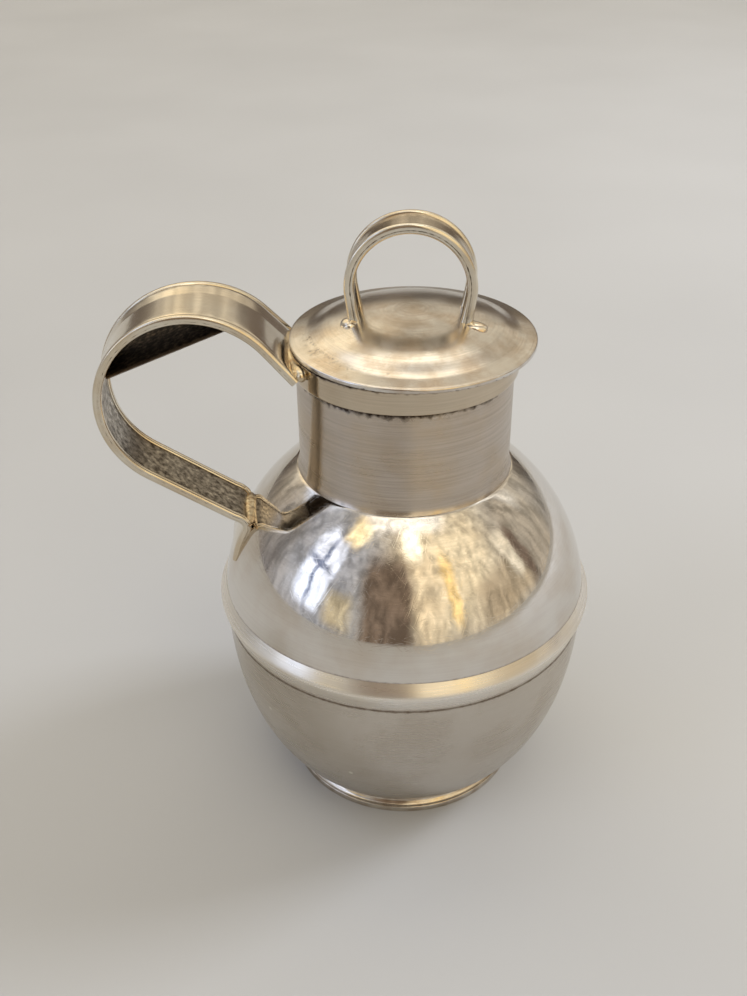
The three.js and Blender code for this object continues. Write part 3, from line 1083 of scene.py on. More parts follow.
@dataclass
class Neck(SubAssembly):
    """The straight neck, and the thicker collar round the mouth."""

    radius: float = 16.8
    base: float = 60.5
    top: float = 77.3
    collar_radius: float = 17.5
    collar_top: float = 81.1
    toe_out: float = 0.62
    toe_drop: float = 0.5
    toe_rise: float = 0.75
    # side where the painted shade under the collar is deepest, in degrees round the axis
    shaded_side: float = -115.0

    @property
    def bore(self) -> float:
        """Radius of the inside."""
        return self.radius - SHEET

    def tube(self) -> Skin:
        """The tube, with the solder's hollow curve where it stands on the shoulder.

        Returns:
            The closed surface.
        """
        toe = bezier((self.radius + self.toe_out, self.base - self.toe_drop), (self.radius + 0.06, self.base - 0.05),
                     (self.radius, self.base + self.toe_rise), 10)
        wall = joined(self.radius, np.linspace(self.base + 1.1, self.top, 40))
        inside = joined(self.bore, np.linspace(self.top, self.base - SEAM, 40))
        return Lathe().skin(np.concatenate([toe, wall, inside]), self.tube_tarnish_and_shade)

    def tube_tarnish_and_shade(self, radius: Array, height: Array, angle: Array) -> Array:
        """Black under the collar, tarnish with painted shade that is deepest at the front left, and a thin line at
        the neck's foot.

        Args:
            radius: distance from the axis in mm.
            height: height in mm.
            angle: angle round the axis in radians.

        Returns:
            Dark film, 0 to 1.
        """
        # Painted shade: the band under the collar grows darker and wider towards the shaded front left.
        left = 0.55 + 0.45 * np.cos(angle - math.radians(self.shaded_side))
        collar = bell(height, self.top, 0.3 + 0.75 * left, 1) * (0.5 + 0.5 * left)
        outer = np.clip(collar + 0.3 * bell(height, self.base, 0.3, 1), 0.0, 1.0)
        return np.where(radius > self.radius - 0.3, outer, 0.35)

    def collar(self) -> Skin:
        """The collar: a plain band with softened edges.

        Returns:
            The closed surface.
        """
        profile = rounded([(self.bore, self.top), (self.collar_radius, self.top),
                           (self.collar_radius, self.collar_top), (self.bore, self.collar_top)],
                          [0.1, 0.3, 0.3, 0.2], spacing=0.35)
        return Lathe().skin(profile, self.collar_painted_shade)

    def collar_painted_shade(self, radius: Array, height: Array, angle: Array) -> Array:
        """Painted shadow of the lid close under its flange, and painted shade on the lower face."""
        # Painted shade on the lower face, and the painted shadow of the lid's flange along the top.
        lower = np.where(height < self.top + 0.05, 0.6, 0.0)
        return np.maximum(lower, 0.9 * bell(height, self.collar_top, 0.4, 1))

    def build(self) -> list[bpy.types.Object]:
        """Tube and collar.

        Returns:
            The finished pieces.
        """
        return [
            self.dress(self.tube(), "neck_sleeve", "neck_tube", BrushedSilver(
                "brushed_silver_neck", tone="#C7BDB2", roughness=0.21, scatter=1.0, stroke_depth_mm=0.0015,
                patch_mm=6.0, film=0.5, contrast=0.16)),
            self.dress(self.collar(), "collar_ring", "mouth_collar", PolishedSilver(
                "polished_silver_collar", tone="#CFC2AE", roughness=0.09)),
        ]


@dataclass
class Handle(SubAssembly):
    """The strap handle: a tapering strap, a wire along each edge, and a plate in its top."""

    radius: float = 15.15
    centre_x: float = -31.95
    centre_z: float = 74.1
    neck_slope: float = 48.8
    lead: float = 6.2
    tail_slope: float = 34.4
    bend: float = 1.6
    tab_drop: float = 6.7
    tab_clearance: float = -0.1
    tab_sink: float = 0.9
    neck_width: float = 18.2
    tail_width: float = 10.4
    taper_length: float = 76.4
    taper_power: float = 3.0
    wire_width: float = 1.2
    wire_thickness: float = 1.4
    wire_lap: float = 0.25
    plate_thickness: float = 0.7
    plate_angle: float = 112.7
    plate_distance: float = 10.0
    plate_sunk: float = 0.08
    plate_margin: float = 0.45
    hug_lead: float = 2.2
    hug_run: float = 2.0
    hug_limit: float = 40.0
    belly: Belly = field(default_factory=Belly)
    neck: Neck = field(default_factory=Neck)

    def loop_point(self, angle: Array, inset: float = 0.0) -> Array:
        """Place on the round part, at an angle in radians, from the jug's axis."""
        return np.array([self.centre_x, self.centre_z]) + joined(np.cos(angle), np.sin(angle)) * (self.radius - inset)

    def over_shoulder(self, height: Array) -> Array:
        """Outer edge where the strap lies on the shoulder: -(wall + clearance + thickness)."""
        wall = self.belly.shoulder_radius(height - self.belly.widest)
        return joined(-wall - self.tab_clearance - self.wire_thickness, height)

    def route(self) -> Route:
        """The strap's outer edge: up from the neck, round the loop, down and along the shoulder.

        Straight lines run along the tangents at both ends of the arc. The lower one ends at
        the first height where it is nearer to the axis than the edge on the shoulder, and
        the bend there is rounded over 1.6 mm. Along the tab the edge sinks by 0.9 t^1.5 mm,
        with t from 0 to 1.

        Returns:
            The line, from the neck to the tab's end.
        """
        first = math.radians(90.0 - self.neck_slope)
        last = math.radians(270.0 - self.tail_slope)
        arc = self.loop_point(np.linspace(first, last, 160))
        start = arc[0] + self.lead * self._way(-self.neck_slope)
        heights = np.linspace(arc[-1, 1], self.belly.widest + 1.0, 4000)
        falling = arc[-1, 0] + (arc[-1, 1] - heights) / math.tan(math.radians(self.tail_slope))
        landing = heights[np.argmax(falling > self.over_shoulder(heights)[:, 0])]
        run = np.linspace(0.0, 1.0, 28)
        tab = self.over_shoulder(landing - self.tab_drop * run) + self.tab_sink * joined(run ** 1.5, 0.0)
        before = tab[0] - self.bend * self._way(-self.tail_slope)
        turn = bezier(tuple(before), tuple(tab[0]), tuple(tab[6]), 12)
        line = refined(np.concatenate([start[None], arc, turn, tab[7:]]), False, 0.3)
        return Route(line + np.array([AXIS_X, 0.0]))

    @staticmethod
    def _way(degrees: float) -> Array:
        """Unit vector at an angle."""
        return np.array([math.cos(math.radians(degrees)), math.sin(math.radians(degrees))])

    def half(self, distance: Array) -> Array:
        """Half width = (tail + (neck - tail) (1 - s / 76.4)^3) / 2."""
        left = np.clip(1.0 - distance / self.taper_length, 0.0, 1.0)
        return (self.tail_width + (self.neck_width - self.tail_width) * left ** self.taper_power) / 2.0

    def outside(self, places: Array) -> Array:
        """Height over the neck's skin: distance from the axis less the neck's radius there.

        Args:
            places: places in mm.

        Returns:
            Height in mm, below zero inside the neck.
        """
        neck = self.neck
        heights = [0.0, neck.top - 0.6, neck.top, neck.collar_top]
        wall = np.interp(places[..., 2], heights, [neck.radius] * 2 + [neck.collar_radius] * 2)
        return np.hypot(places[..., 0] - AXIS_X, places[..., 1]) - wall + SUNK

    def hug(self, distance: Array, y: Array, z: Array) -> Array:
        """Bends the tab round the shoulder: R - sqrt(R^2 - y^2), brought in over the 2 mm before it.

        Args:
            distance: distance along the route in mm.
            y: places along Y in mm.
            z: heights in mm.

        Returns:
            Shift along X in mm.
        """
        wall = self.belly.shoulder_radius(np.clip(z - self.belly.widest, 0.0, self.belly.top - self.belly.widest))
        first = self.route().length - self.tab_drop - self.hug_lead
        share = np.clip((distance - first) / self.hug_run, 0.0, 1.0)
        return share * (wall - np.sqrt(wall ** 2 - np.minimum(y ** 2, self.hug_limit)))

    def bar(self, section: Array, offset: Callable[[Array], Array], reach: Callable[[Array], Array],
            rows: int) -> Strip:
        """A bar along the strap's route, cut by the neck and bent to the shoulder.

        Args:
            section: across and depth of each of the section's points.
            offset: middle along Y in mm, from the distance.
            reach: half its width in mm, from the distance.
            rows: rows along the route.

        Returns:
            The bar.
        """
        return Strip(self.route(), section, offset, reach, self.outside, rows=rows, cut_end=False, hug=self.hug)

    def strap(self) -> Skin:
        """The strap between the wires.

        Returns:
            The closed surface.
        """
        section = strip_section((self.wire_thickness - SHEET) / 2, SHEET, 0.29)
        bar = self.bar(section, lambda s: 0.0 * s, lambda s: self.half(s) - self.wire_width + self.wire_lap, 260)
        return bar.skin(self.strap_tarnish_and_shade)

    def strap_tarnish_and_shade(self, distance: Array, section: Array) -> Array:
        """Tarnish inside the loop, painted shade in the pocket over the plate and along the fold of the outer face,
        and darker along both edges and towards the tail.

        Args:
            distance: distance along the route in mm.
            section: across and depth of each of the section's points.

        Returns:
            Dark film, 0 to 1.
        """
        across = section[:, 0][None, :]
        inner = section[:, 1][None, :] > self.wire_thickness / 2
        swing = (distance - self.lead) / self.radius
        # Painted shade in the pocket over the plate, on the tarnished inner face.
        pocket = bell(swing, math.radians(self.plate_angle - 90.0 + self.neck_slope), 0.75, 4)
        tail = np.clip((distance - self.lead - self.radius * 2.6) / 6.0, 0.0, 1.0)
        face = np.where(inner, 0.58 + 0.34 * pocket + 0.02 * tail, 0.05 + 0.1 * tail)
        # Painted shade along the fold of the outer face.
        fold_shade = bell(across, KINK, 0.03) * (1.0 - inner)
        return np.clip(face + 0.3 * np.abs(across) ** 14 + 0.45 * fold_shade, 0.0, 1.0)

    def wire(self, side: Side) -> Skin:
        """The wire along one edge, bright from wear, with a dark seam along its side.

        Args:
            side: which edge.

        Returns:
            The closed surface.
        """
        bar = self.bar(wire_section(self.wire_thickness, 2.8, 0.07),
                       lambda s: side.value * (self.half(s) - self.wire_width / 2),
                       lambda s: self.wire_width / 2 + 0.0 * s, 300)
        return bar.skin(lambda s, p: seam_tarnish(s, p, self.wire_thickness, 0.5))

    def plate(self) -> Skin:
        """The plate across the loop's top, a chord as wide as the strap at its two ends.

        Returns:
            The closed surface.
        """
        inset = self.wire_thickness - self.plate_sunk
        spread, middle = math.acos(self.plate_distance / (self.radius - inset)), math.radians(self.plate_angle)
        swing = np.array([middle - spread, middle + spread])
        way = self.lead + self.radius * (swing - math.radians(90.0 - self.neck_slope))
        near, far = self.half(way) - self.plate_margin
        route = Route(refined(self.loop_point(swing, inset) + np.array([AXIS_X, 0.0]), False, 0.4))
        strip = Strip(route, strip_section(0.0, self.plate_thickness), lambda s: 0.0 * s,
                      lambda s: near + (far - near) * s / route.length, rows=40)
        return strip.skin(lambda s, p: np.where(np.abs(p[:, 0]) > 0.985, 0.05, 0.66)[None, :])

    def solder(self) -> list[bpy.types.Object]:
        """Solder: a run between the collar and the strap's end, and a fillet in its landing.

        Returns:
            The finished pieces.
        """
        gilt = PolishedSilver("silver_solder", tone="#DCCFB4", toning="#A9783F", film=0.6, patch_mm=1.6,
                              roughness=0.2, grain=Grain.ALONG)
        pieces = {
            "neck_solder": solder_fillet(self.neck.collar_radius, height=79.9, spread=31.0, thickness=1.1),
            "landing_solder": solder_drop((AXIS_X - 25.5, 0.0, 52.0), (1.15, 5.35, 0.85), tarnish_and_shade=0.42),
        }
        return [self.dress(skin, name, "handle_strap", gilt, stands_for=False) for name, skin in pieces.items()]

    def build(self) -> list[bpy.types.Object]:
        """Strap, two wires, plate and the solder at both ends.

        Returns:
            The finished pieces.
        """
        wire = PolishedSilver("polished_silver_handle_wire", tone="#E6DFD0", toning="#C3A678", film=0.45,
                              roughness=0.14, grain=Grain.ALONG, stroke_mm=(0.25, 6.0))
        strap = BrushedSilver("brushed_silver_handle_strap", tone="#ECE5D9", toning="#D2BE9E", grain=Grain.ALONG,
                              roughness=0.1, scatter=0.25, stroke_mm=(0.3, 12.0), stroke_depth_mm=0.0015,
                              film=0.3, ragged=0.55, contrast=0.08)
        return [
            self.dress(self.strap(), "handle_ribbon", "handle_strap", strap),
            self.dress(self.wire(Side.FRONT), "handle_near_wire", "handle_front_rim", wire),
            self.dress(self.wire(Side.BACK), "handle_far_wire", "handle_back_rim", wire),
            self.dress(self.plate(), "handle_gusset", "handle_bridge_plate", TarnishedSilver(
                "tarnished_silver_plate", grain=Grain.ALONG)),
            *self.solder(),
        ]


@dataclass
class Lid(SubAssembly):
    """The lift-off lid: a flanged, low-domed cover over a tube that fits the mouth."""

    body: str = LID_BODY
    centre_x: float = AXIS_X + 1.2
    turn: float = -8.0
    seat: float = 81.4
    radius: float = 18.8
    edge: float = 0.7
    rise: float = 0.75
    dome_radius: float = 15.4
    dome_step: float = 0.35
    dome_rise: float = 3.0
    rim_in: float = 2.2
    rim_out: float = 1.2
    plug_radius: float = 14.5
    plug_length: float = 10.0

    @property
    def bore(self) -> float:
        """Radius of the plug's inside."""
        return self.plug_radius - SHEET

    @property
    def dome_foot(self) -> float:
        """Height of the flange's inner edge."""
        return self.seat + self.edge + self.rise

    @property
    def dome_top(self) -> float:
        """Height of the dome's middle."""
        return self.dome_foot + self.dome_step + self.dome_rise

    def dome(self, radius: Array) -> Array:
        """Height = top - b + sqrt(b^2 - r^2), a cap of a sphere of radius b."""
        bow = (self.dome_radius ** 2 + self.dome_rise ** 2) / (2.0 * self.dome_rise)
        return self.dome_top - bow + np.sqrt(bow ** 2 - np.clip(radius, 0.0, bow) ** 2)

    def flange(self, radius: float) -> float:
        """Height of the flange, which rises evenly towards the dome."""
        return self.dome_foot - self.rise * (radius - self.dome_radius) / (self.radius - self.dome_radius)

    def rim_curve(self, outer: float, inner: float) -> Array:
        """Curve from the flange up on to the dome: a cubic that keeps the slope of both.

        Height = (2t^3 - 3t^2 + 1) a + (t^3 - 2t^2 + t) m + (3t^2 - 2t^3) b + (t^3 - t^2) n,
        where a and b are the heights at its ends, and m and n the slopes times its length.

        Args:
            outer: radius on the flange in mm.
            inner: radius on the dome in mm.

        Returns:
            Radius and height of each point.
        """
        t = np.linspace(0.0, 1.0, 22)
        a, b = self.flange(outer), float(self.dome(inner))
        step = 0.01
        m = (self.flange(outer - step) - a) / step * (outer - inner)
        n = (b - float(self.dome(inner + step))) / step * (outer - inner)
        height = ((2 * t ** 3 - 3 * t ** 2 + 1) * a + (t ** 3 - 2 * t ** 2 + t) * m
                  + (3 * t ** 2 - 2 * t ** 3) * b + (t ** 3 - t ** 2) * n)
        return joined(outer + (inner - outer) * t, height)

    def cover(self) -> Skin:
        """Flange and dome above, the hollow and the seat below.

        Returns:
            The closed surface.
        """
        inner, outer = self.dome_radius - self.rim_in, self.dome_radius + self.rim_out
        cap = np.linspace(inner, 0.0, 40)
        hollow = np.linspace(0.0, self.bore, 24)
        seat = rounded([(self.bore, self.seat), (self.radius, self.seat), (self.radius, self.seat + self.edge),
                        (outer, self.flange(outer))], [0.1, 0.22, 0.28, 0.1], closed=False, spacing=0.4)
        profile = np.concatenate([
            joined(hollow, self.dome(hollow) - SHEET), seat, self.rim_curve(outer, inner)[1:],
            joined(cap, self.dome(cap))[1:],
        ])
        return Lathe(self.centre_x).skin(profile, self.cover_tarnish, ring=False)

    def cover_tarnish(self, radius: Array, height: Array, angle: Array) -> Array:
        """Specks on the flange's left, a faint ring at the dome's foot, dark under the flange.

        Args:
            radius: distance from the axis in mm.
            height: height in mm.
            angle: angle round the axis in radians.

        Returns:
            Dark film, 0 to 1.
        """
        ring = bell(radius, self.dome_radius + 0.3, 0.25, 1)
        left = bell((angle - math.radians(205.0) + math.pi) % (2.0 * math.pi), math.pi, 0.9)
        above = 0.2 * ring + 0.36 * left * bell(radius, 16.6, 1.3)
        return np.clip(np.where(height > self.seat + 0.3, above, 0.4), 0.0, 1.0)

    def plug(self) -> Skin:
        """The tube under the cover, softened at its lower edge.

        Returns:
            The closed surface.
        """
        low, high = self.seat - SEAM - self.plug_length, self.seat + 0.05
        profile = rounded([(self.bore, low), (self.plug_radius, low), (self.plug_radius, high), (self.bore, high)],
                          [0.2, 0.2, 0.05, 0.05], spacing=0.5)
        return Lathe(self.centre_x).skin(profile, lambda r, z, a: 0.25 + 0.4 * bell(z, high, 0.5, 1))

    def build(self) -> list[bpy.types.Object]:
        """Cover and plug.

        Returns:
            The finished pieces.
        """
        return [
            self.dress(self.cover(), "lid_disc", "lid_cover", PolishedSilver(
                "polished_silver_lid", toning="#AE9574", roughness=0.16, scatter=0.35, stroke_depth_mm=0.001,
                patch_mm=4.0, film=0.5, contrast=0.1)),
            self.dress(self.plug(), "lid_sleeve", "lid_plug", SatinSilver("satin_silver_plug", tone="#C9C1B6")),
        ]


@dataclass
class LidLoop(SubAssembly):
    """The loop on the lid: a bent strap with a wire along each edge, soldered at its feet."""

    body: str = LID_BODY
    radius: float = 9.8
    shift: float = -0.35
    height: float = 14.0
    lean: float = 8.0
    width: float = 6.9
    wire_width: float = 1.1
    wire_thickness: float = 1.6
    wire_lap: float = 0.2
    lid: Lid = field(default_factory=Lid)

    def route(self) -> Route:
        """The loop's outer edge from foot to foot: an arc, and the two legs that draw in.

        Returns:
            The line, from the right foot to the left.
        """
        lean = math.radians(self.lean)
        top = self.lid.dome_top + self.height
        angle = np.linspace(-lean, math.pi + lean, 120)
        arc = joined(self.shift + self.radius * np.cos(angle), top - self.radius + self.radius * np.sin(angle))
        leg = (arc[0, 1] - self.lid.dome_foot) / math.cos(lean)
        right = arc[0] + leg * np.array([-math.sin(lean), -math.cos(lean)])
        left = arc[-1] + leg * np.array([math.sin(lean), -math.cos(lean)])
        return Route(refined(np.concatenate([right[None], arc, left[None]]), False, 0.25))

    def outside(self, places: Array) -> Array:
        """Height over the dome, in the lid's own directions."""
        return places[..., 2] - self.lid.dome(np.hypot(places[..., 0], places[..., 1])) + SUNK

    def placed(self, skin: Skin) -> Skin:
        """Turns a surface by the lid's turn and moves it to the lid's axis."""
        skin.points = turned(skin.points, self.lid.turn) + np.array([self.lid.centre_x, 0.0, 0.0])
        return skin

    def strap(self) -> Skin:
        """The strap between the wires.

        Returns:
            The closed surface.
        """
        section = strip_section((self.wire_thickness - SHEET) / 2, SHEET, 0.1, 18)
        strip = Strip(self.route(), section, lambda s: 0.0 * s,
                      lambda s: self.width / 2 - self.wire_width + self.wire_lap + 0.0 * s, self.outside, rows=180)
        return self.placed(strip.skin(self.strap_tarnish_and_shade))

    def strap_tarnish_and_shade(self, distance: Array, section: Array) -> Array:
        """Tarnish inside the loop, and painted shade, up to black, a little over its feet.

        Args:
            distance: distance along the route in mm.
            section: across and depth of each of the section's points.

        Returns:
            Dark film, 0 to 1.
        """
        inner = section[:, 1][None, :] > self.wire_thickness / 2
        # Painted shade on the legs a little over the feet.
        feet = bell(np.minimum(distance, self.route().length - distance), 4.4, 2.2)
        return np.clip(np.where(inner, 0.2 + 0.75 * feet, 0.12 + 0.3 * feet), 0.0, 1.0)

    def wire(self, side: Side) -> Skin:
        """The wire along one edge.

        Args:
            side: which edge.

        Returns:
            The closed surface.
        """
        strip = Strip(self.route(), wire_section(self.wire_thickness, 2.5, 0.14),
                      lambda s: side.value * (self.width - self.wire_width) / 2 + 0.0 * s,
                      lambda s: self.wire_width / 2 + 0.0 * s, self.outside, 0.3, 240)
        return self.placed(strip.skin(lambda s, p: seam_tarnish(s, p, self.wire_thickness, 0.7)))

    def solder(self) -> list[bpy.types.Object]:
        """Solder at the two near feet of the loop: a bead on the left, a spread toe on the right.

        Returns:
            The finished pieces.
        """
        bright = PolishedSilver("silver_solder_loop", tone="#E4DED2", toning="#B98F55", film=0.5, patch_mm=1.5,
                                roughness=0.12, grain=Grain.ALONG)
        foot = self.shift - self.radius + 0.6
        left, right = (float(self.lid.dome(np.hypot(foot, y))) for y in (-3.1, -3.2))
        runs = {
            "loop_solder_left": ((foot + 0.3, -3.1, left - 0.3), (1.5, 1.6, 1.0), 0.0),
            "loop_solder_right": ((-foot - 0.6, -3.2, right - 0.35), (2.3, 1.4, 0.95), -30.0),
        }
        return [
            self.dress(self.placed(solder_drop(place, size, turn)), name, "loop_strap", bright, stands_for=False)
            for name, (place, size, turn) in runs.items()
        ]

    def build(self) -> list[bpy.types.Object]:
        """Strap, two wires and the solder at the near feet.

        Returns:
            The finished pieces.
        """
        wire = PolishedSilver("polished_silver_loop_wire", tone="#E6DFD0", toning="#C3A678", film=0.35,
                              roughness=0.13, grain=Grain.ALONG, stroke_mm=(0.25, 6.0))
        strap = BrushedSilver("brushed_silver_loop_strap", tone="#D2C7B6", toning="#A98F6C", grain=Grain.ALONG,
                              film=0.5, roughness=0.14, scatter=0.3, stroke_mm=(0.3, 10.0))
        return [
            self.dress(self.strap(), "loop_ribbon", "loop_strap", strap),
            self.dress(self.wire(Side.FRONT), "loop_near_wire", "loop_front_rim", wire),
            self.dress(self.wire(Side.BACK), "loop_far_wire", "loop_back_rim", wire),
            *self.solder(),
        ]


# Studio


def directions(azimuth: float, elevation: float) -> tuple[Array, Array, Array]:
    """Unit vectors towards a place in the room, sideways of it and up over it.

    With a as the azimuth and e as the elevation they are (cos e cos a, cos e sin a, sin e),
    (-sin a, cos a, 0) and (-sin e cos a, -sin e sin a, cos e).

    Args:
        azimuth: degrees from +X towards +Y.
        elevation: degrees over the table.

    Returns:
        The three unit vectors.
    """
    turn, lift = math.radians(azimuth), math.radians(elevation)
    away = np.array([math.cos(lift) * math.cos(turn), math.cos(lift) * math.sin(turn), math.sin(lift)])
    across = np.array([-math.sin(turn), math.cos(turn), 0.0])
    return away, across, np.cross(away, across)


def put(thing: bpy.types.Object, axes: tuple[Array, Array, Array], place: Array) -> None:
    """Turns an object to its three axes, puts it at a place in metres and links it.

    Args:
        thing: the object.
        axes: its X, Y and Z, as unit vectors.
        place: its place in metres.
    """
    matrix = np.eye(4)
    matrix[:3] = np.stack([*axes, place], axis=1)
    thing.matrix_world = Matrix(matrix.tolist())
    bpy.context.scene.collection.objects.link(thing)


@dataclass(frozen=True)
class Lamp:
    """A soft panel that faces the jug.

    Attributes:
        name: name of the lamp.
        azimuth: degrees from +X towards +Y.
        elevation: degrees over the table.
        distance: metres from the jug.
        width: metres.
        height: metres.
        colour: sRGB hex.
        radiance: brightness of the panel, where 1 is white.
        aim_mm: height on the jug's axis that it faces.
    """

    name: str
    azimuth: float
    elevation: float
    distance: float
    width: float
    height: float
    colour: str
    radiance: float
    aim_mm: float = 45.0

    def place(self) -> bpy.types.Object:
        """Adds the panel. Its power is radiance x pi x area.

        Returns:
            The lamp object.
        """
        light = bpy.data.lights.new(self.name, "AREA")
        light.shape = "RECTANGLE"
        light.size, light.size_y = self.width, self.height
        light.color = linear(self.colour)[:3]
        light.energy = self.radiance * math.pi * self.width * self.height
        lamp = bpy.data.objects.new(self.name, light)
        away, across, over = directions(self.azimuth, self.elevation)
        put(lamp, (across, over, away), away * self.distance + np.array([AXIS_X, 0.0, self.aim_mm]) * MM)
        lamp.visible_camera = lamp.visible_glossy = False
        return lamp


@dataclass(frozen=True)
class WallPatch:
    """A soft patch of another colour on the wall of the room.

    Attributes:
        azimuth: degrees from +X towards +Y.
        elevation: degrees over the table.
        across: half its width in degrees.
        upright: half its height in degrees.
        soft: width of its border, as a share of its size.
        colour: sRGB hex.
        gain: brightness over that of the colour.
    """

    azimuth: float
    elevation: float
    across: float
    upright: float
    soft: float
    colour: str
    gain: float = 1.0

    @property
    def light(self) -> tuple[float, ...]:
        """Linear light of the patch."""
        return (*(self.gain * value for value in linear(self.colour)[:3]), 1.0)

    def share(self, tree: Tree, way: Node) -> Node:
        """1 in the patch and 0 outside it.

        With u and v as the ways across and up over the patch's own half sizes, the border
        lies at (u^4 + v^4)^(1/4) = 1.

        Args:
            tree: node tree of the room.
            way: direction looked in.

        Returns:
            The node of the patch's share.
        """
        aim, side, over = (tuple(axis) for axis in directions(self.azimuth, self.elevation))
        powers = []
        for axis, size in ((side, self.across), (over, self.upright)):
            far = add_node(tree, "VectorMath", {0: way, 1: axis}, operation="DOT_PRODUCT").outputs["Value"]
            far = add_node(tree, "Math", {0: far, 1: 1.0 / math.sin(math.radians(size))}, operation="MULTIPLY")
            far = add_node(tree, "Math", {0: far}, operation="ABSOLUTE")
            powers.append(add_node(tree, "Math", {0: far, 1: 4.0}, operation="POWER"))
        total = add_node(tree, "Math", dict(enumerate(powers)), operation="ADD")
        root = add_node(tree, "Math", {0: total, 1: 0.25}, operation="POWER")
        inside = add_node(tree, "MapRange", {
            "Value": root, "From Min": 1.0 + self.soft, "From Max": 1.0 - self.soft,
        }, interpolation_type="SMOOTHSTEP")
        front = add_node(tree, "VectorMath", {0: way, 1: aim}, operation="DOT_PRODUCT").outputs["Value"]
        facing = add_node(tree, "Math", {0: front, 1: 0.0}, operation="GREATER_THAN")
        return add_node(tree, "Math", {0: inside, 1: facing}, operation="MULTIPLY")


@dataclass
class Studio:
    """A plain pale table, a soft panel of light, a soft room, and the camera of the photograph."""

    floor_colour: str = "#B7BABF"
    floor_radius: float = 6.0
    floor_sides: int = 96
    walls: tuple[str, str] = ("#AFAEAB", "#D6D2CA")
    seen_wall: str = "#C9C8C5"
    room_strength: float = 0.82
    bend: float = 0.13
    fold_turn: Triple = (0.12, 0.18, 0.0)
    fold_scale: Triple = (15.0, 15.0, 1.6)
    fold_light: Point = (0.68, 1.36)
    focal_px: float = 1109.0
    frame_px: tuple[int, int] = (747, 996)
    sensor_mm: float = 36.0
    camera_mm: Triple = (-8.925, -153.69, 152.05)
    yaw: float = 4.343
    pitch: float = 32.78
    roll: float = 0.6525
    lamps: tuple[Lamp, ...] = (
        Lamp("window_right_back", 14.0, 34.0, 0.9, 0.26, 0.30, "#F8FAFF", 16.5),
    )
    patches: tuple[WallPatch, ...] = (
        WallPatch(-60.0, 38.0, 44.0, 42.0, 0.5, "#E6D7BB", 1.15),
        WallPatch(-58.0, 38.0, 24.0, 26.0, 0.6, "#FFEDC8", 1.5),
        WallPatch(-24.0, 14.0, 24.0, 12.0, 0.35, "#DAC6A6"),
        WallPatch(-12.0, 22.0, 5.0, 12.0, 0.3, "#FFF2D8", 1.2),
        WallPatch(14.0, 18.0, 14.0, 26.0, 0.3, "#C6BAA7"),
        WallPatch(22.0, 40.0, 5.0, 16.0, 0.4, "#FFFAF0", 1.5),
        WallPatch(-163.0, 26.0, 32.0, 34.0, 0.4, "#C9CBD2"),
        WallPatch(-161.0, 27.0, 11.0, 21.0, 0.15, "#E2EBFF", 2.2),
        WallPatch(-161.0, 27.0, 1.2, 20.0, 0.5, "#7F8FB8"),
        WallPatch(-161.0, 30.0, 10.0, 1.4, 0.5, "#8C9AC0"),
        WallPatch(-138.0, 12.0, 9.0, 10.0, 0.4, "#E9D9B6"),
        WallPatch(152.0, 14.0, 18.0, 26.0, 0.3, "#959294"),
        WallPatch(-106.5, 19.0, 16.0, 32.0, 0.25, "#95816F"),
        WallPatch(-78.0, 24.0, 9.0, 30.0, 0.5, "#FFEBC6", 1.4),
        WallPatch(-86.0, 62.0, 5.0, 13.0, 0.4, "#FFF6DC", 3.0),
        WallPatch(-150.0, 57.0, 6.0, 8.0, 0.5, "#FFE9B8", 2.2),
        WallPatch(-62.0, 28.0, 3.5, 20.0, 0.35, "#F6D594", 1.9),
        WallPatch(-3.0, 17.0, 3.5, 15.0, 0.3, "#7E6A5C"),
        WallPatch(85.0, 34.0, 50.0, 22.0, 0.4, "#E6D9C1", 1.1),
        WallPatch(116.0, 38.0, 16.0, 13.0, 0.4, "#FFEBC6", 1.6),
        WallPatch(150.0, 46.0, 12.0, 14.0, 0.4, "#E6EEFF", 1.5),
        WallPatch(94.0, 66.0, 24.0, 9.0, 0.5, "#FFF2DA", 2.4),
        WallPatch(85.0, 4.0, 44.0, 10.0, 0.4, "#6E6257"),
        WallPatch(-97.0, 76.0, 20.0, 9.0, 0.4, "#FFFAF0", 2.2),
    )

    def build(self) -> None:
        """Floor, world, lamps, camera and view."""
        self.floor()
        self.world()
        for lamp in self.lamps:
            lamp.place()
        self.camera()
        bpy.context.scene.view_settings.view_transform = "Standard"

    def floor(self) -> None:
        """A round table top, 12 m across, of matt painted board."""
        angle = circle(self.floor_sides)
        ring = joined(self.floor_radius * np.cos(angle), self.floor_radius * np.sin(angle), 0.0)
        mesh = bpy.data.meshes.new("table_top")
        mesh.from_pydata(ring.tolist(), [], [list(range(self.floor_sides))])
        table = bpy.data.objects.new("table_top", mesh)
        bpy.context.scene.collection.objects.link(table)
        material = bpy.data.materials.new("matt_painted_board")
        material.use_nodes = True
        tree = material.node_tree
        tree.nodes.clear()
        place = add_node(tree, "TexCoord").outputs["Object"]
        cloud = add_node(tree, "TexNoise", {"Vector": place, "Scale": 9.0, "Detail": 2.0})
        shade = add_node(tree, "MapRange", {
            "Value": cloud, "From Min": 0.3, "From Max": 0.7, "To Min": 0.97, "To Max": 1.03,
        })
        colour = linear(self.floor_colour)[:3]
        tint = add_node(tree, "VectorMath", {0: colour, "Scale": shade}, operation="SCALE")
        shader = add_node(tree, "BsdfPrincipled", {"Base Color": tint, "Roughness": 0.75})
        add_node(tree, "OutputMaterial", {"Surface": shader})
        mesh.materials.append(material)

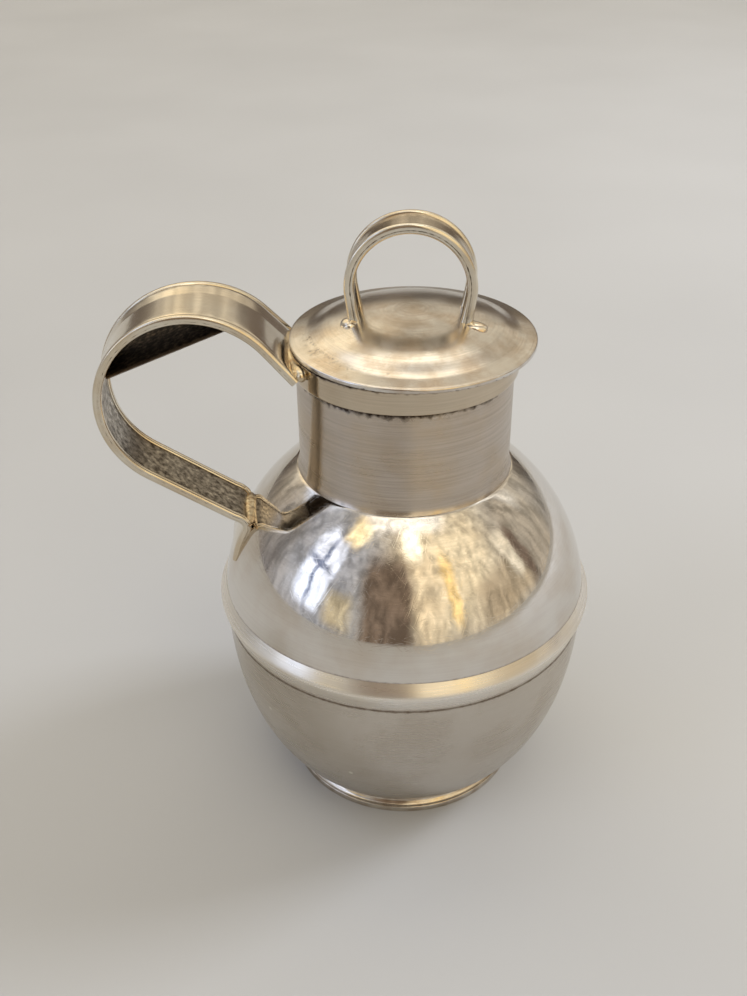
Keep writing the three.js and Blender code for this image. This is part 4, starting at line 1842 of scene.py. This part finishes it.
    def world(self) -> None:
        """A soft room: pale walls, and patches of gold, grey and brown as the silver shows them.

        Noise bends the borders of the patches, and folds like a curtain's lighten and darken
        the whole by about a third. The camera itself sees a plain pale wall.
        """
        world = bpy.data.worlds.new("soft_room")
        world.use_nodes = True
        bpy.context.scene.world = world
        tree = world.node_tree
        tree.nodes.clear()
        way = add_node(tree, "TexCoord").outputs["Generated"]
        apart = add_node(tree, "SeparateXYZ", {0: way})
        lift = add_node(tree, "MapRange", {
            "Value": apart.outputs[2], "From Min": 0.0, "From Max": 0.9,
        }, interpolation_type="SMOOTHSTEP")
        low, high = (linear(code) for code in self.walls)
        wall = add_node(tree, "Mix", {0: lift, 6: low, 7: high}, data_type="RGBA").outputs[2]
        bent = add_node(tree, "TexNoise", {"Vector": way, "Scale": 5.0, "Detail": 3.0, "Roughness": 0.6})
        shift = add_node(tree, "VectorMath", {0: bent.outputs["Color"], 1: (0.5, 0.5, 0.5)}, operation="SUBTRACT")
        near = add_node(tree, "VectorMath", {0: shift, 1: (self.bend,) * 3, 2: way}, operation="MULTIPLY_ADD")
        for patch in self.patches:
            layer = {0: patch.share(tree, near), 6: wall, 7: patch.light}
            wall = add_node(tree, "Mix", layer, data_type="RGBA").outputs[2]
        drape = add_node(tree, "Mapping", {"Vector": near, "Rotation": self.fold_turn, "Scale": self.fold_scale})
        folds = add_node(tree, "TexNoise", {"Vector": drape, "Scale": 1.0, "Detail": 3.0})
        low, high = self.fold_light
        level = add_node(tree, "MapRange", {
            "Value": folds, "From Min": 0.38, "From Max": 0.62, "To Min": low, "To Max": high,
        })
        draped = add_node(tree, "VectorMath", {0: wall, "Scale": level}, operation="SCALE")
        light = add_node(tree, "Background", {"Color": draped, "Strength": self.room_strength})
        plain = add_node(tree, "Background", {"Color": linear(self.seen_wall)})
        seen = add_node(tree, "LightPath").outputs["Is Camera Ray"]
        shown = add_node(tree, "MixShader", {0: seen, 1: light, 2: plain})
        add_node(tree, "OutputWorld", {"Surface": shown})

    def camera(self) -> None:
        """The camera of the photograph, solved on the jug's own circles."""
        yaw, pitch, roll = (math.radians(value) for value in (self.yaw, self.pitch, self.roll))
        forward = np.array([math.sin(yaw) * math.cos(pitch), math.cos(yaw) * math.cos(pitch), -math.sin(pitch)])
        right = np.array([math.cos(yaw), -math.sin(yaw), 0.0])
        down = np.cross(forward, right)
        across = math.cos(roll) * right + math.sin(roll) * down
        upright = math.sin(roll) * right - math.cos(roll) * down
        data = bpy.data.cameras.new("photograph")
        data.sensor_fit = "VERTICAL"
        data.sensor_height = self.sensor_mm
        data.lens = self.focal_px / self.frame_px[1] * self.sensor_mm
        data.clip_start = 0.01
        view = bpy.data.objects.new("photograph", data)
        put(view, (across, upright, -forward), np.array(self.camera_mm) * MM)
        bpy.context.scene.camera = view


def main() -> None:
    """Builds the jug part by part, then the studio round it."""
    logging.basicConfig(level=logging.INFO, format="%(name)s: %(message)s")
    for part in (Foot(), Belly(), Neck(), Handle(), Lid(), LidLoop()):
        for piece in part.build():
            log.info("%s: %s, %d faces", type(part).__name__, piece.name, len(piece.data.polygons))
    Studio().build()


if __name__ == "__main__":
    main()
